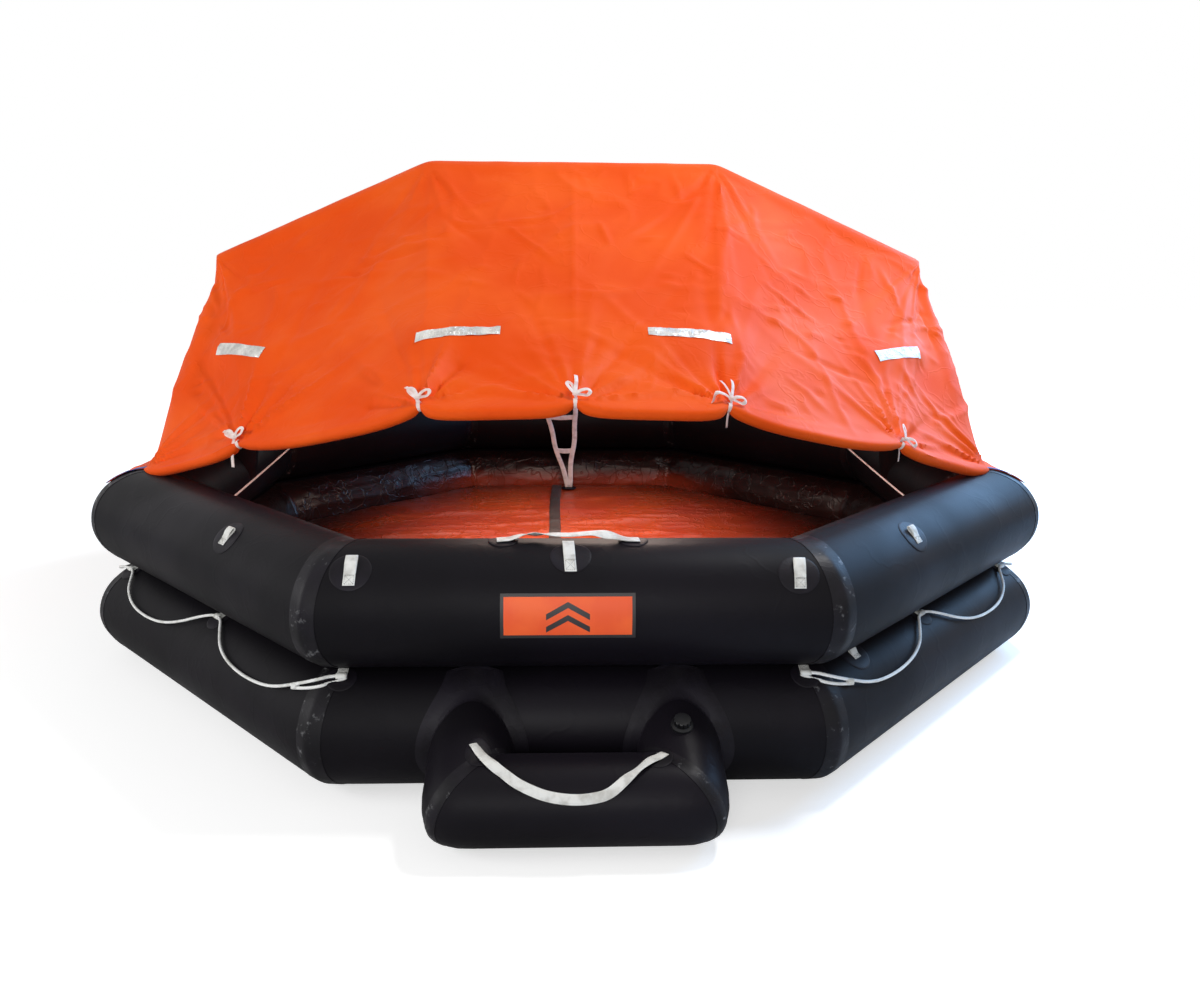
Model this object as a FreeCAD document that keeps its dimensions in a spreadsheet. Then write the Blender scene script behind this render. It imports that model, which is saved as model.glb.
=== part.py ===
"""Inflatable liferaft for about twenty people, in millimetres.

Two mitred eight-sided tubes are stacked on a floor, an inflated arch carries a tent-like canopy,
and an inflated boarding ramp lies in front of the entrance. The origin is the centre of the floor
on the ground, +Z is up and the ramp points to -Y. The eight sides are numbered from the front one,
0, counter-clockwise seen from above, so side 2 faces +X, side 4 the rear and side 6 faces -X.
"""
import FreeCAD, Part
import Sketcher
import math
import os

Vector = FreeCAD.Vector
Placement = FreeCAD.Placement
Rotation = FreeCAD.Rotation
AXIS_X, AXIS_Y, AXIS_Z = Vector(1, 0, 0), Vector(0, 1, 0), Vector(0, 0, 1)
ORIGIN = Vector(0, 0, 0)

SIDES = 8
HALF_STEP = math.pi / SIDES
TAN, COS = math.tan(HALF_STEP), math.cos(HALF_STEP)

DIMENSIONS = {
    # tubes: centre-line apothem of the octagon, radius, and half height between the flats
    "apothem": 1690, "tube_radius": 190, "tube_flat": 188, "lower_mid": 190, "upper_mid": 566,
    # floor
    "floor_thick": 2, "pad_height": 186, "pad_gap": 8, "pad_round": 50,
    "skirt_thick": 2, "floor_tape_wide": 60, "floor_tape_x": -90,
    # arch, centre-line points in the plane y = 0
    "arch_radius": 110, "arch_top": 1895, "crown_half": 617, "knee_half": 1488, "knee_high": 1515,
    "foot_half": 1601,
    # boarding ramp, a U of tube that rises towards the lower tube
    "ramp_radius": 122, "ramp_half": 300, "ramp_leg": 330, "ramp_out": 2040, "ramp_slope": 19,
    "collar_radius": 165, "collar_thick": 3,
    # canopy
    "cloth": 3, "roll_radius": 22, "hem_sag": 45, "strip_long": 300, "strip_wide": 50,
    # fittings
    "rubber": 2, "webbing": 3, "tab_wide": 38, "patch_radius": 60, "rope": 10, "lifeline": 8,
    "plate_wide": 383, "plate_thick": 3,
    "handle_left": 235, "handle_right": 190, "handle_foot": 38, "handle_run": 30, "handle_rise": 16,
    "handle_wide": 40, "strap_wide": 28,
    # gas cylinder with its head
    "bottle_radius": 85, "bottle_long": 560, "neck_radius": 16, "neck_long": 80,
    "head_half": 24, "head_high": 52, "outlet_radius": 12, "outlet_long": 84,
    # topping-up valves
    "valve_radius": 32, "valve_neck": 19, "valve_root": 6, "valve_flange": 5, "valve_shoulder": 9,
    "valve_top": 20, "valve_bore": 11, "cap_radius": 25, "cap_top": 25, "cap_gap": 0.1,
    "cap_round": 2, "notch_radius": 2.5,
}

doc = FreeCAD.newDocument("liferaft")
sheet = doc.addObject("Spreadsheet::Sheet", "dimensions")
for row, (alias, number) in enumerate(DIMENSIONS.items(), start=1):
    sheet.set(f"A{row}", alias)
    sheet.set(f"B{row}", str(number))
    sheet.setAlias(f"B{row}", alias)
doc.recompute()
size = {alias: float(sheet.get(alias)) for alias in DIMENSIONS}

nodes = []


# ---------------------------------------------------------------- helpers

def amount(terms):
    """The value of a sum of (factor, alias) terms."""
    return sum(factor * size[alias] for factor, alias in terms)


def formula(terms):
    """The same sum as an expression on the sheet."""
    return " + ".join(f"{factor:.6f} * dimensions.{alias}" for factor, alias in terms)


def new_body(label):
    made = doc.addObject("PartDesign::Body", label)
    made.Label = label
    return made


def origin_plane(owner, role):
    return next(item for item in owner.Origin.OriginFeatures if item.Role == role)


def new_sketch(owner, name, role):
    made = owner.newObject("Sketcher::SketchObject", name)
    made.AttachmentSupport = (origin_plane(owner, role), [""])
    made.MapMode = "FlatFace"
    return made


def pin_point(sketch, geometry, vertex, across, up):
    """Holds a sketch point at two coordinates, each a sum of sheet terms or None for the axis."""
    for kind, axis, terms in (("DistanceX", -2, across), ("DistanceY", -1, up)):
        if terms is None:
            sketch.addConstraint(Sketcher.Constraint("PointOnObject", geometry, vertex, axis))
        else:
            rule = Sketcher.Constraint(kind, -1, 1, geometry, vertex, amount(terms))
            index = sketch.addConstraint(rule)
            sketch.setExpression(f"Constraints[{index}]", formula(terms))


def draw_lines(sketch, points, closed):
    """Draws straight lines through points, each a pair of coordinate terms."""
    spots = [Vector(amount(x or []), amount(y or []), 0) for x, y in points]
    ends = list(zip(spots, spots[1:] + spots[:1] if closed else spots[1:]))
    for start, end in ends:
        sketch.addGeometry(Part.LineSegment(start, end), False)
    last = len(ends) - 1
    for index in range(last):
        sketch.addConstraint(Sketcher.Constraint("Coincident", index, 2, index + 1, 1))
    if closed:
        sketch.addConstraint(Sketcher.Constraint("Coincident", last, 2, 0, 1))
    for index, (x, y) in enumerate(points):
        geometry, vertex = (index, 1) if index <= last else (last, 2)
        pin_point(sketch, geometry, vertex, x, y)


def draw_circle(sketch, across, up, radius):
    centre = Vector(amount(across or []), amount(up or []), 0)
    ring = sketch.addGeometry(Part.Circle(centre, AXIS_Z, size[radius]), False)
    rule = sketch.addConstraint(Sketcher.Constraint("Radius", ring, size[radius]))
    sketch.setExpression(f"Constraints[{rule}]", f"dimensions.{radius}")
    pin_point(sketch, ring, 3, across, up)


def draw_band(sketch, across, up, inner, outer, start, end):
    """Draws an arc-shaped band between two radii, each a sum of terms, from one angle to another."""
    centre = Vector(amount(across or []), amount(up), 0)
    spots = {}
    for ring, radius in enumerate((inner, outer)):
        circle = Part.Circle(centre, AXIS_Z, amount(radius))
        sketch.addGeometry(Part.ArcOfCircle(circle, math.radians(start), math.radians(end)), False)
        for vertex, angle in ((1, start), (2, end)):
            turn = math.radians(angle)
            spots[ring, vertex] = centre + Vector(math.cos(turn), math.sin(turn), 0) * amount(radius)
    for vertex in (1, 2):
        sketch.addGeometry(Part.LineSegment(spots[0, vertex], spots[1, vertex]), False)
        for ring in (0, 1):
            rule = Sketcher.Constraint("Coincident", ring, vertex, vertex + 1, ring + 1)
            sketch.addConstraint(rule)
    sketch.addConstraint(Sketcher.Constraint("Coincident", 0, 3, 1, 3))
    pin_point(sketch, 0, 3, across, up)
    for ring, radius in enumerate((inner, outer)):
        rule = sketch.addConstraint(Sketcher.Constraint("Radius", ring, amount(radius)))
        sketch.setExpression(f"Constraints[{rule}]", formula(radius))
        for vertex, angle in ((1, start), (2, end)):
            cosine, sine = math.cos(math.radians(angle)), math.sin(math.radians(angle))
            steep = abs(sine) > abs(cosine)
            kind, base, share = ("DistanceX", across or [], cosine) if steep else ("DistanceY", up, sine)
            terms = base + [(factor * share, alias) for factor, alias in radius]
            rule = Sketcher.Constraint(kind, -1, 1, ring, vertex, amount(terms))
            index = sketch.addConstraint(rule)
            sketch.setExpression(f"Constraints[{index}]", formula(terms))


def sweep_half(owner, section, path):
    """Sweeps a section along half a path with mitred corners, and mirrors it to the other side."""
    pipe = owner.newObject("PartDesign::AdditivePipe", "sweep")
    pipe.Profile = section
    pipe.Spine = (path, [])
    pipe.Transition = "Right corner"
    doc.recompute()
    mirror = owner.newObject("PartDesign::Mirrored", "other_half")
    mirror.Originals = [pipe]
    mirror.MirrorPlane = (origin_plane(owner, "YZ_Plane"), [""])
    owner.Tip = mirror
    doc.recompute()
    return owner


def keep(item):
    nodes.append(item)
    return item


def feature(label, shape, placement=None):
    """A sub-part whose shape is worked out here from the sheet's values."""
    made = doc.addObject("Part::Feature", label)
    made.Label = label
    made.Shape = shape
    if placement:
        made.Placement = placement
    return keep(made)


def boolean(kind, label, base, tool):
    made = doc.addObject(f"Part::{kind}", label)
    made.Label = label
    made.Base = base
    made.Tool = tool
    doc.recompute()
    return keep(made)


def group(shapes):
    return Part.makeCompound(shapes)


def fused(shapes):
    return shapes[0].fuse(shapes[1:]).removeSplitter() if len(shapes) > 1 else shapes[0]


# Places on the rings: a side's number, the distance along it from its middle (counter-clockwise),
# and the angle round the tube, 0 facing outwards, 90 on top and 180 facing the cabin.

def turned(side):
    return Placement(ORIGIN, Rotation(AXIS_Z, 360 / SIDES * side))


def ring_point(side, along, angle, reach, middle):
    turn = math.radians(angle)
    spot = Vector(along, -size["apothem"] - reach * math.cos(turn), middle + reach * math.sin(turn))
    return turned(side).multVec(spot)


def outward(side, along, angle, reach, middle):
    """The placement whose +Z stands square on the tube there."""
    turn = math.radians(angle)
    spot = Vector(along, -size["apothem"] - reach * math.cos(turn), middle + reach * math.sin(turn))
    return turned(side) * Placement(spot, Rotation(AXIS_X, 90 - angle))


def wrap(side, along, low, high, width, inner, outer, middle):
    """A strip that follows the tube's round from one angle to another."""
    start = Vector(along - width / 2, -size["apothem"], middle)
    shell = Part.makeCylinder(outer, width, start, AXIS_X, high - low)
    shell = shell.cut(Part.makeCylinder(inner, width, start, AXIS_X, high - low))
    # a cylinder about +X starts on top, at 90, and runs outwards from there
    shell.rotate(start, AXIS_X, 90 - high)
    return shell.transformed(turned(side).toMatrix())


def disc(side, along, angle, radius, inner, outer, middle):
    """A round patch that follows the tube's surface."""
    start = Vector(along - radius, -size["apothem"], middle)
    shell = Part.makeCylinder(outer, 2 * radius, start, AXIS_X)
    shell = shell.cut(Part.makeCylinder(inner, 2 * radius, start, AXIS_X))
    shell = shell.transformed(turned(side).toMatrix())
    plug = Part.makeCylinder(radius, 2 * radius, ORIGIN, AXIS_Z)
    plug.Placement = outward(side, along, angle, inner - radius, middle)
    return shell.common(plug)


def bar(start, end, across, width, thick):
    """A flat strip from one point to another, its width along the given direction."""
    run = end - start
    face = run.cross(across).normalize()
    side = face.cross(run).normalize() * (width / 2)
    corners = [start - side, start + side, end + side, end - side]
    sheet_face = Part.Face(Part.makePolygon(corners + corners[:1]))
    return sheet_face.extrude(face * thick)


def rod(points, radius):
    """A round rod through points, mitred at each bend."""
    line = Part.makePolygon(points)
    section = Part.Wire(Part.Circle(points[0], points[1] - points[0], radius).toShape())
    return line.makePipeShell([section], True, False, 1)


def offset_line(points, distance):
    """The 2-D line through points moved sideways by a distance, with mitred corners."""
    normals = []
    for (x, y), (u, v) in zip(points, points[1:]):
        length = math.hypot(u - x, v - y)
        normals.append(((v - y) / length, (x - u) / length))
    moved = []
    for index, (x, y) in enumerate(points):
        first = normals[max(index - 1, 0)]
        second = normals[min(index, len(normals) - 1)]
        scale = distance / (1 + first[0] * second[0] + first[1] * second[1])
        moved.append((x + scale * (first[0] + second[0]), y + scale * (first[1] + second[1])))
    return moved


def corded(label, points, diameter):
    """A cord's tube: straight runs joined by arcs as large as the runs allow."""
    turns = []
    for before, spot, after in zip(points, points[1:], points[2:]):
        back, ahead = before - spot, after - spot
        half_turn = (math.pi - back.getAngle(ahead)) / 2
        reach = 0.45 * min(back.Length, ahead.Length)
        turns.append((reach, reach / math.tan(half_turn)))
    edges, place = [], points[0]
    for (reach, radius), before, spot, after in zip(turns, points, points[1:], points[2:]):
        enter = spot + (before - spot).normalize() * reach
        leave = spot + (after - spot).normalize() * reach
        middle = (enter + leave) / 2
        centre_gap = math.hypot(radius, reach)
        inside = spot + (middle - spot).normalize() * (centre_gap - radius)
        edges.append(Part.LineSegment(place, enter).toShape())
        edges.append(Part.Arc(enter, inside, leave).toShape())
        place = leave
    edges.append(Part.LineSegment(place, points[-1]).toShape())
    line = Part.Wire(edges)
    start = Part.Circle(points[0], points[1] - points[0], diameter / 2).toShape()
    tube = line.makePipeShell([Part.Wire(start)], True, True)
    expected = math.pi * diameter ** 2 / 4 * line.Length
    radii = [round(radius) for _, radius in turns]
    print(f"{label}: length {line.Length:.0f} mm, volume {tube.Volume / expected:.4f} of expected,"
          f" tightest arc {min(radii) if radii else 0} mm")
    return feature(label, tube)


# ---------------------------------------------------------------- buoyancy tubes and floor

def buoyancy_tube(label, middle):
    """One ring of eight mitred lengths, with a narrow flat above and below where it is stacked."""
    ring = new_body(label)
    path = new_sketch(ring, "centre_line", "XY_Plane")
    path.setExpression("AttachmentOffset.Base.z", f"dimensions.{middle}")
    far, near = [(1, "apothem")], [(TAN, "apothem")]
    back_far, back_near = [(-1, "apothem")], [(-TAN, "apothem")]
    corners = [(None, back_far), (near, back_far), (far, back_near), (far, near), (near, far), (None, far)]
    draw_lines(path, corners, closed=False)
    section = new_sketch(ring, "section", "YZ_Plane")
    centre = Vector(-size["apothem"], size[middle], 0)
    circle = Part.Circle(centre, AXIS_Z, size["tube_radius"])
    lift = math.asin(size["tube_flat"] / size["tube_radius"])
    section.addGeometry(Part.ArcOfCircle(circle, -lift, lift), False)
    section.addGeometry(Part.ArcOfCircle(circle, math.pi - lift, math.pi + lift), False)
    flat = math.sqrt(size["tube_radius"] ** 2 - size["tube_flat"] ** 2)
    for sign in (1, -1):
        ends = [centre + Vector(sign * flat, sign * size["tube_flat"], 0),
                centre + Vector(-sign * flat, sign * size["tube_flat"], 0)]
        section.addGeometry(Part.LineSegment(*ends), False)
    for first, first_end, second, second_end in ((0, 2, 2, 1), (2, 2, 1, 1), (1, 2, 3, 1), (3, 2, 0, 1)):
        section.addConstraint(Sketcher.Constraint("Coincident", first, first_end, second, second_end))
    section.addConstraint(Sketcher.Constraint("Coincident", 0, 3, 1, 3))
    section.addConstraint(Sketcher.Constraint("Horizontal", 2))
    section.addConstraint(Sketcher.Constraint("Horizontal", 3))
    rule = section.addConstraint(Sketcher.Constraint("Radius", 0, size["tube_radius"]))
    section.setExpression(f"Constraints[{rule}]", "dimensions.tube_radius")
    pin_point(section, 0, 3, [(-1, "apothem")], [(1, middle)])
    for line, factor in ((2, 1), (3, -1)):
        height = [(1, middle), (factor, "tube_flat")]
        rule = section.addConstraint(Sketcher.Constraint("DistanceY", -1, 1, line, 1, amount(height)))
        section.setExpression(f"Constraints[{rule}]", formula(height))
    return keep(sweep_half(ring, section, path))


lower_tube = buoyancy_tube("lower_buoyancy_tube", "lower_mid")
upper_tube = buoyancy_tube("upper_buoyancy_tube", "upper_mid")


def prism(label, across_flats, height, base_height):
    """An upright eight-sided plate with a flat side to the front."""
    made = doc.addObject("Part::Prism", label)
    made.Label = label
    made.Polygon = SIDES
    made.setExpression("Circumradius", f"({across_flats}) / {COS:.8f}")
    made.setExpression("Height", height)
    made.Placement = Placement(Vector(0, 0, base_height), Rotation(AXIS_Z, 180 / SIDES))
    doc.recompute()
    return made


floor_fabric = keep(prism("floor_fabric", "dimensions.apothem + 25", "dimensions.floor_thick", 0))
pad_size = "dimensions.apothem - dimensions.tube_radius - dimensions.pad_gap"
pad_block = prism("floor_block", pad_size, "dimensions.pad_height", size["floor_thick"])
pad_top = size["floor_thick"] + size["pad_height"]
pad = doc.addObject("Part::Fillet", "inflatable_floor")
pad.Label = "inflatable_floor"
pad.Base = pad_block
round_edges = [index for index, edge in enumerate(pad_block.Shape.Edges, start=1)
               if edge.BoundBox.ZMin > pad_top - 1]
pad.Edges = [(index, size["pad_round"], size["pad_round"]) for index in round_edges]
doc.recompute()
keep(pad)

skirt = new_body("floor_skirt")
skirt_path = new_sketch(skirt, "centre_line", "XY_Plane")
skirt_path.setExpression("AttachmentOffset.Base.z", "dimensions.lower_mid")
far, near = [(1, "apothem")], [(TAN, "apothem")]
back_far, back_near = [(-1, "apothem")], [(-TAN, "apothem")]
draw_lines(skirt_path, [(None, back_far), (near, back_far), (far, back_near), (far, near), (near, far),
                        (None, far)], closed=False)
skirt_section = new_sketch(skirt, "section", "YZ_Plane")
draw_band(skirt_section, [(-1, "apothem")], [(1, "lower_mid")], [(1, "tube_radius")],
          [(1, "tube_radius"), (1, "skirt_thick")], 0, 72)
keep(sweep_half(skirt, skirt_section, skirt_path))

tape_reach = size["apothem"] - size["tube_radius"] - size["pad_gap"] - size["pad_round"]
tape_wide = size["floor_tape_wide"]
floor_tape = doc.addObject("Part::Box", "floor_tape")
floor_tape.Label = "floor_tape"
floor_tape.setExpression("Length", "dimensions.floor_tape_wide")
floor_tape.setExpression("Width", "2 * (dimensions.apothem - dimensions.tube_radius - dimensions.pad_gap"
                                  " - dimensions.pad_round)")
floor_tape.setExpression("Height", "dimensions.rubber")
tape_corner = Vector(size["floor_tape_x"] - tape_wide / 2, -tape_reach, pad_top)
floor_tape.Placement = Placement(tape_corner, Rotation())
keep(floor_tape)

# ---------------------------------------------------------------- arch tube

arch_line = [(0, size["arch_top"]), (size["crown_half"], size["arch_top"]),
             (size["knee_half"], size["knee_high"]), (size["foot_half"], size["upper_mid"])]
ARCH_TERMS = [(None, [(1, "arch_top")]), ([(1, "crown_half")], [(1, "arch_top")]),
              ([(1, "knee_half")], [(1, "knee_high")]), ([(1, "foot_half")], [(1, "upper_mid")])]

arch_pipe = new_body("arch_pipe")
arch_path = new_sketch(arch_pipe, "centre_line", "XZ_Plane")
draw_lines(arch_path, ARCH_TERMS, closed=False)
arch_section = new_sketch(arch_pipe, "section", "YZ_Plane")
draw_circle(arch_section, None, [(1, "arch_top")], "arch_radius")
sweep_half(arch_pipe, arch_section, arch_path)
arch_tube = boolean("Cut", "arch_tube", arch_pipe, upper_tube)

# ---------------------------------------------------------------- boarding ramp

ramp_pipe = new_body("ramp_pipe")
ramp_path = new_sketch(ramp_pipe, "centre_line", "XY_Plane")
draw_lines(ramp_path, [(None, None), ([(1, "ramp_half")], None), ([(1, "ramp_half")], [(1, "ramp_leg")])],
           closed=False)
ramp_section = new_sketch(ramp_pipe, "section", "YZ_Plane")
draw_circle(ramp_section, None, None, "ramp_radius")
sweep_half(ramp_pipe, ramp_section, ramp_path)
ramp_front = Vector(0, -size["ramp_out"], size["ramp_radius"])
ramp_frame = Placement(ramp_front, Rotation(AXIS_X, size["ramp_slope"]))
ramp_pipe.Placement = ramp_frame
ramp = boolean("Cut", "boarding_ramp", ramp_pipe, lower_tube)


def ramp_collars():
    """Round rubber collars that join the ramp's legs to the lower tube."""
    middle = size["lower_mid"]
    front = Vector(-size["ramp_half"] - 2 * size["collar_radius"], -size["apothem"], middle)
    width = 2 * size["ramp_half"] + 4 * size["collar_radius"]
    shell = Part.makeCylinder(size["tube_radius"] + size["collar_thick"], width, front, AXIS_X)
    shell = shell.cut(Part.makeCylinder(size["tube_radius"], width, front, AXIS_X))
    rings = []
    for side in (-1, 1):
        root = ramp_frame.multVec(Vector(side * size["ramp_half"], size["ramp_leg"] * 0.4, 0))
        along = ramp_frame.Rotation.multVec(AXIS_Y)
        plug = Part.makeCylinder(size["collar_radius"], size["ramp_leg"] * 0.6, root, along)
        hole = Part.makeCylinder(size["ramp_radius"], size["ramp_leg"], root - along * 100, along)
        rings.append(shell.common(plug).cut(hole))
    return group(rings)


feature("ramp_collars", ramp_collars())

# ---------------------------------------------------------------- canopy

FOCUS = Vector(0, 0, 600)
SHRINK = 1 - size["cloth"] / 1200


def arch_edge(distance):
    """The arch's line moved outwards: crown corner, knee and foot, each as (x, z)."""
    return offset_line(arch_line, -distance)[1:]


RIDGE_HALF = 58
RIDGE_RISE = 96
crown_spot, knee_spot, foot_spot = (Vector(x, -RIDGE_HALF, z) for x, z in arch_edge(RIDGE_RISE))
crest = size["upper_mid"] + size["tube_radius"]
lean = (foot_spot.x - knee_spot.x) / (knee_spot.z - foot_spot.z)
HEM = {
    "crown_middle": Vector(0, -RIDGE_HALF, crown_spot.z),
    "crown": crown_spot,
    "knee": knee_spot,
    "foot": Vector(knee_spot.x + lean * (knee_spot.z - crest), -RIDGE_HALF, crest),
    "corner": Vector(size["apothem"], -TAN * size["apothem"], crest),
    "outer_tie": Vector(1200, -1030, 920),
    "inner_tie": Vector(500, -1370, 1110),
    "middle_tie": Vector(0, -1420, 1130),
}


def sagging(first, second, apex):
    """The middle of a hem, pulled down in the plane of its panel."""
    middle = (HEM[first] + HEM[second]) / 2
    return middle + (middle - HEM[apex]).normalize() * size["hem_sag"]


HEM["inner_sag"] = sagging("inner_tie", "middle_tie", "crown_middle")
HEM["outer_sag"] = sagging("outer_tie", "inner_tie", "knee")
HEM["corner_sag"] = sagging("corner", "outer_tie", "knee")

PANELS = {
    "top": [("crown_middle", "crown", "inner_tie"),
            ("crown_middle", "inner_tie", "inner_sag", "middle_tie")],
    "slope": [("crown", "knee", "inner_tie"), ("knee", "outer_tie", "outer_sag", "inner_tie")],
    "end": [("knee", "corner", "corner_sag", "outer_tie"), ("knee", "foot", "corner")],
}
HEM_ORDER = ["corner", "corner_sag", "outer_tie", "outer_sag", "inner_tie", "inner_sag", "middle_tie"]


def mirrored(spot, right, front):
    return Vector(spot.x if right else -spot.x, spot.y if front else -spot.y, spot.z)


def cloth_facet(outline, inside=SHRINK, outside=1):
    """A flat piece of cloth between two copies of an outline, scaled about the cabin's middle."""
    inner, outer = ([FOCUS + (spot - FOCUS) * scale for spot in outline] for scale in (inside, outside))
    faces = [Part.Face(Part.makePolygon(ring + ring[:1])) for ring in (outer, inner)]
    for index in range(len(outline)):
        after = (index + 1) % len(outline)
        ring = [outer[index], outer[after], inner[after], inner[index]]
        faces.append(Part.Face(Part.makePolygon(ring + ring[:1])))
    made = Part.makeSolid(Part.makeShell(faces))
    if made.Volume < 0:
        made.reverse()
    return made


def hem_roll(front):
    """The door curtain rolled up along the hem, sagging between its ties."""
    half = [HEM[name] for name in HEM_ORDER]
    half[0] = half[0] + AXIS_Z * size["roll_radius"]
    line = [mirrored(spot, True, front) for spot in half]
    line += [mirrored(spot, False, front) for spot in half[-2::-1]]
    return rod(line, size["roll_radius"])


sleeve = new_body("sleeve_pipe")
sleeve_path = new_sketch(sleeve, "centre_line", "XZ_Plane")
draw_lines(sleeve_path, ARCH_TERMS, closed=False)
sleeve_section = new_sketch(sleeve, "section", "YZ_Plane")
draw_band(sleeve_section, None, [(1, "arch_top")], [(1, "arch_radius")],
          [(1, "arch_radius"), (1, "cloth")], 57, 123)
sweep_half(sleeve, sleeve_section, sleeve_path)
canopy_sleeve = boolean("Cut", "canopy_sleeve", sleeve, upper_tube)

def cut_clear(shape, tools):
    """The main piece of a shape that is left after others are cut from it."""
    return max(shape.cut(tools).Solids, key=lambda item: item.Volume)


rolls = {end: hem_roll(end == "front") for end in ("front", "rear")}
blockers = [canopy_sleeve.Shape, arch_tube.Shape]
canopy_pieces = []
for end, roll in rolls.items():
    for name, facets in PANELS.items():
        for hand in ("left", "right"):
            outlines = [[mirrored(HEM[spot], hand == "right", end == "front") for spot in facet]
                        for facet in facets]
            pieces = [cut_clear(cloth_facet(outline), [roll] + blockers) for outline in outlines]
            canopy_pieces += pieces
            feature(f"canopy_{end}_{name}_{hand}", group(pieces))
    feature(f"{end}_door_roll", roll)


def door_ties(front):
    """Five tapes tied round the rolled-up curtain."""
    roll = rolls["front" if front else "rear"]
    spots = ["outer_tie", "inner_tie", "middle_tie", "inner_tie", "outer_tie"]
    hands = [True, True, True, False, False]
    loops = []
    for name, right in zip(spots, hands):
        spot = mirrored(HEM[name], right, front)
        along = Vector(spot.y, -spot.x, 0).normalize()
        if name == "middle_tie":
            along = AXIS_X
        start = spot - along * 8
        loop = Part.makeCylinder(size["roll_radius"] + 4, 16, start, along)
        loop = loop.cut(Part.makeCylinder(size["roll_radius"] + 2, 16, start, along))
        loops.append(cut_clear(loop, canopy_pieces + [roll]))
    return group(loops)


for end in ("front", "rear"):
    feature(f"{end}_door_ties", door_ties(end == "front"))

side_cloth = []
for label, low, high, thick in (("canopy_side_flaps", 52, 92, size["cloth"]),
                                ("canopy_edge_tapes", 44, 52, size["rubber"])):
    long = 2 * TAN * size["apothem"]
    strips = [wrap(side, 0, low, high, long, size["tube_radius"], size["tube_radius"] + thick,
                   size["upper_mid"]) for side in (2, 6)]
    above = canopy_pieces + blockers + list(rolls.values())
    strips = [cut_clear(strip, above) for strip in strips]
    side_cloth += strips
    feature(label, group(strips))


def strip_on(corner_names, centre, right, front):
    """A reflective strip laid level on the canopy, bent where it crosses a crease."""
    a, b, c = (mirrored(HEM[name], right, front) for name in corner_names)
    normal = (b - a).cross(c - a).normalize()
    if normal.z < 0:
        normal = normal * -1
    level = normal.cross(AXIS_Z).normalize()
    spot = mirrored(centre, right, front)
    spot = spot - normal * ((spot - a).dot(normal) - STRIP_REACH)
    half = level * (size["strip_long"] / 2)
    cutter = bar(spot - half, spot + half, level.cross(normal), size["strip_wide"], 2 * STRIP_REACH)
    outlines = [[mirrored(HEM[name], right, front) for name in facet]
                for facets in PANELS.values() for facet in facets]
    parts = [cloth_facet(outline, 1, STRIP_GROW).common(cutter) for outline in outlines]
    return fused([part for part in parts if part.Volume > 1])


STRIP_REACH, STRIP_GROW = 60, 1 + 1 / 1000
STRIPS = [(("crown_middle", "crown", "inner_tie"), (410, -1050, 1326)),
          (("knee", "outer_tie", "inner_tie"), (1335, -610, 1229))]
strips = []
for front in (True, False):
    for right in (True, False):
        for corners, centre in STRIPS:
            strips.append(strip_on(corners, Vector(*centre), right, front))
feature("reflective_strips", group(strips))

# ---------------------------------------------------------------- fittings on the tubes

skin = size["tube_radius"]
over = skin + size["rubber"]
LOWER, UPPER = size["lower_mid"], size["upper_mid"]

feature("boarding_plate", wrap(0, -23, -12, 27, size["plate_wide"], skin, skin + size["plate_thick"], UPPER))

# lacing tabs: side, place along it, lowest and highest angle, and the tube's middle height
TABS = [(0, -640, 34, 61, UPPER), (0, 640, 30, 57, UPPER), (0, -15, 46, 80, UPPER),
        (7, 255, 38, 56, UPPER), (1, -255, 38, 56, UPPER), (2, 0, 30, 42, UPPER),
        (6, 0, 30, 42, UPPER), (3, 255, 38, 56, UPPER), (5, -255, 38, 56, UPPER),
        (4, -640, 34, 61, UPPER), (4, 640, 34, 61, UPPER), (4, 60, 46, 80, UPPER),
        (1, -528, 59, 71, LOWER)]
tab_shapes, patch_shapes = [], []
for side, along, low, high, middle in TABS:
    tab_shapes.append(wrap(side, along, low, high, size["tab_wide"], over, over + size["webbing"], middle))
    radius = size["patch_radius"] if middle == UPPER else size["patch_radius"] - 15
    patch_shapes.append(cut_clear(disc(side, along, (low + high) / 2, radius, skin, over, middle), side_cloth))
feature("lacing_tabs", group(tab_shapes))

# beckets on the lower tube, which hold the grab line; the other half is mirrored
BECKETS = [(0, 690), (1, -50), (1, 690), (2, 0), (3, -690), (3, 50), (4, -690)]
BECKET_LOW, BECKET_HIGH, ROPE_ANGLE = 56, 74, 64
ROPE_OUT = skin + 11
becket_shapes = []
for side, along in BECKETS + [(-side % SIDES, -along) for side, along in BECKETS]:
    tab = wrap(side, along, BECKET_LOW, BECKET_HIGH, size["tab_wide"], over, over + size["webbing"], LOWER)
    root = ring_point(side, along - 15, ROPE_ANGLE, ROPE_OUT, LOWER)
    axis = turned(side).multVec(AXIS_X)
    loop = Part.makeCylinder(size["rope"] / 2 + 4.5, 30, root, axis)
    loop = loop.cut(Part.makeCylinder(size["rope"] / 2 + 1.5, 30, root, axis))
    inside = Part.makeCylinder(over, 60, ring_point(side, along - 30, 0, 0, LOWER), axis)
    becket_shapes.append(tab.fuse(loop.cut(inside)))
    patch_shapes.append(disc(side, along, ROPE_ANGLE, size["patch_radius"] - 15, skin, over, LOWER))
feature("beckets", group(becket_shapes))
feature("rubber_patches", group(patch_shapes))

pockets = [wrap(side, 0, -70, -32, 520, skin + 0.05, skin + 6, LOWER) for side in (2, 3, 5, 6)]
feature("water_pockets", group(pockets))

# ---------------------------------------------------------------- handles

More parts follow.
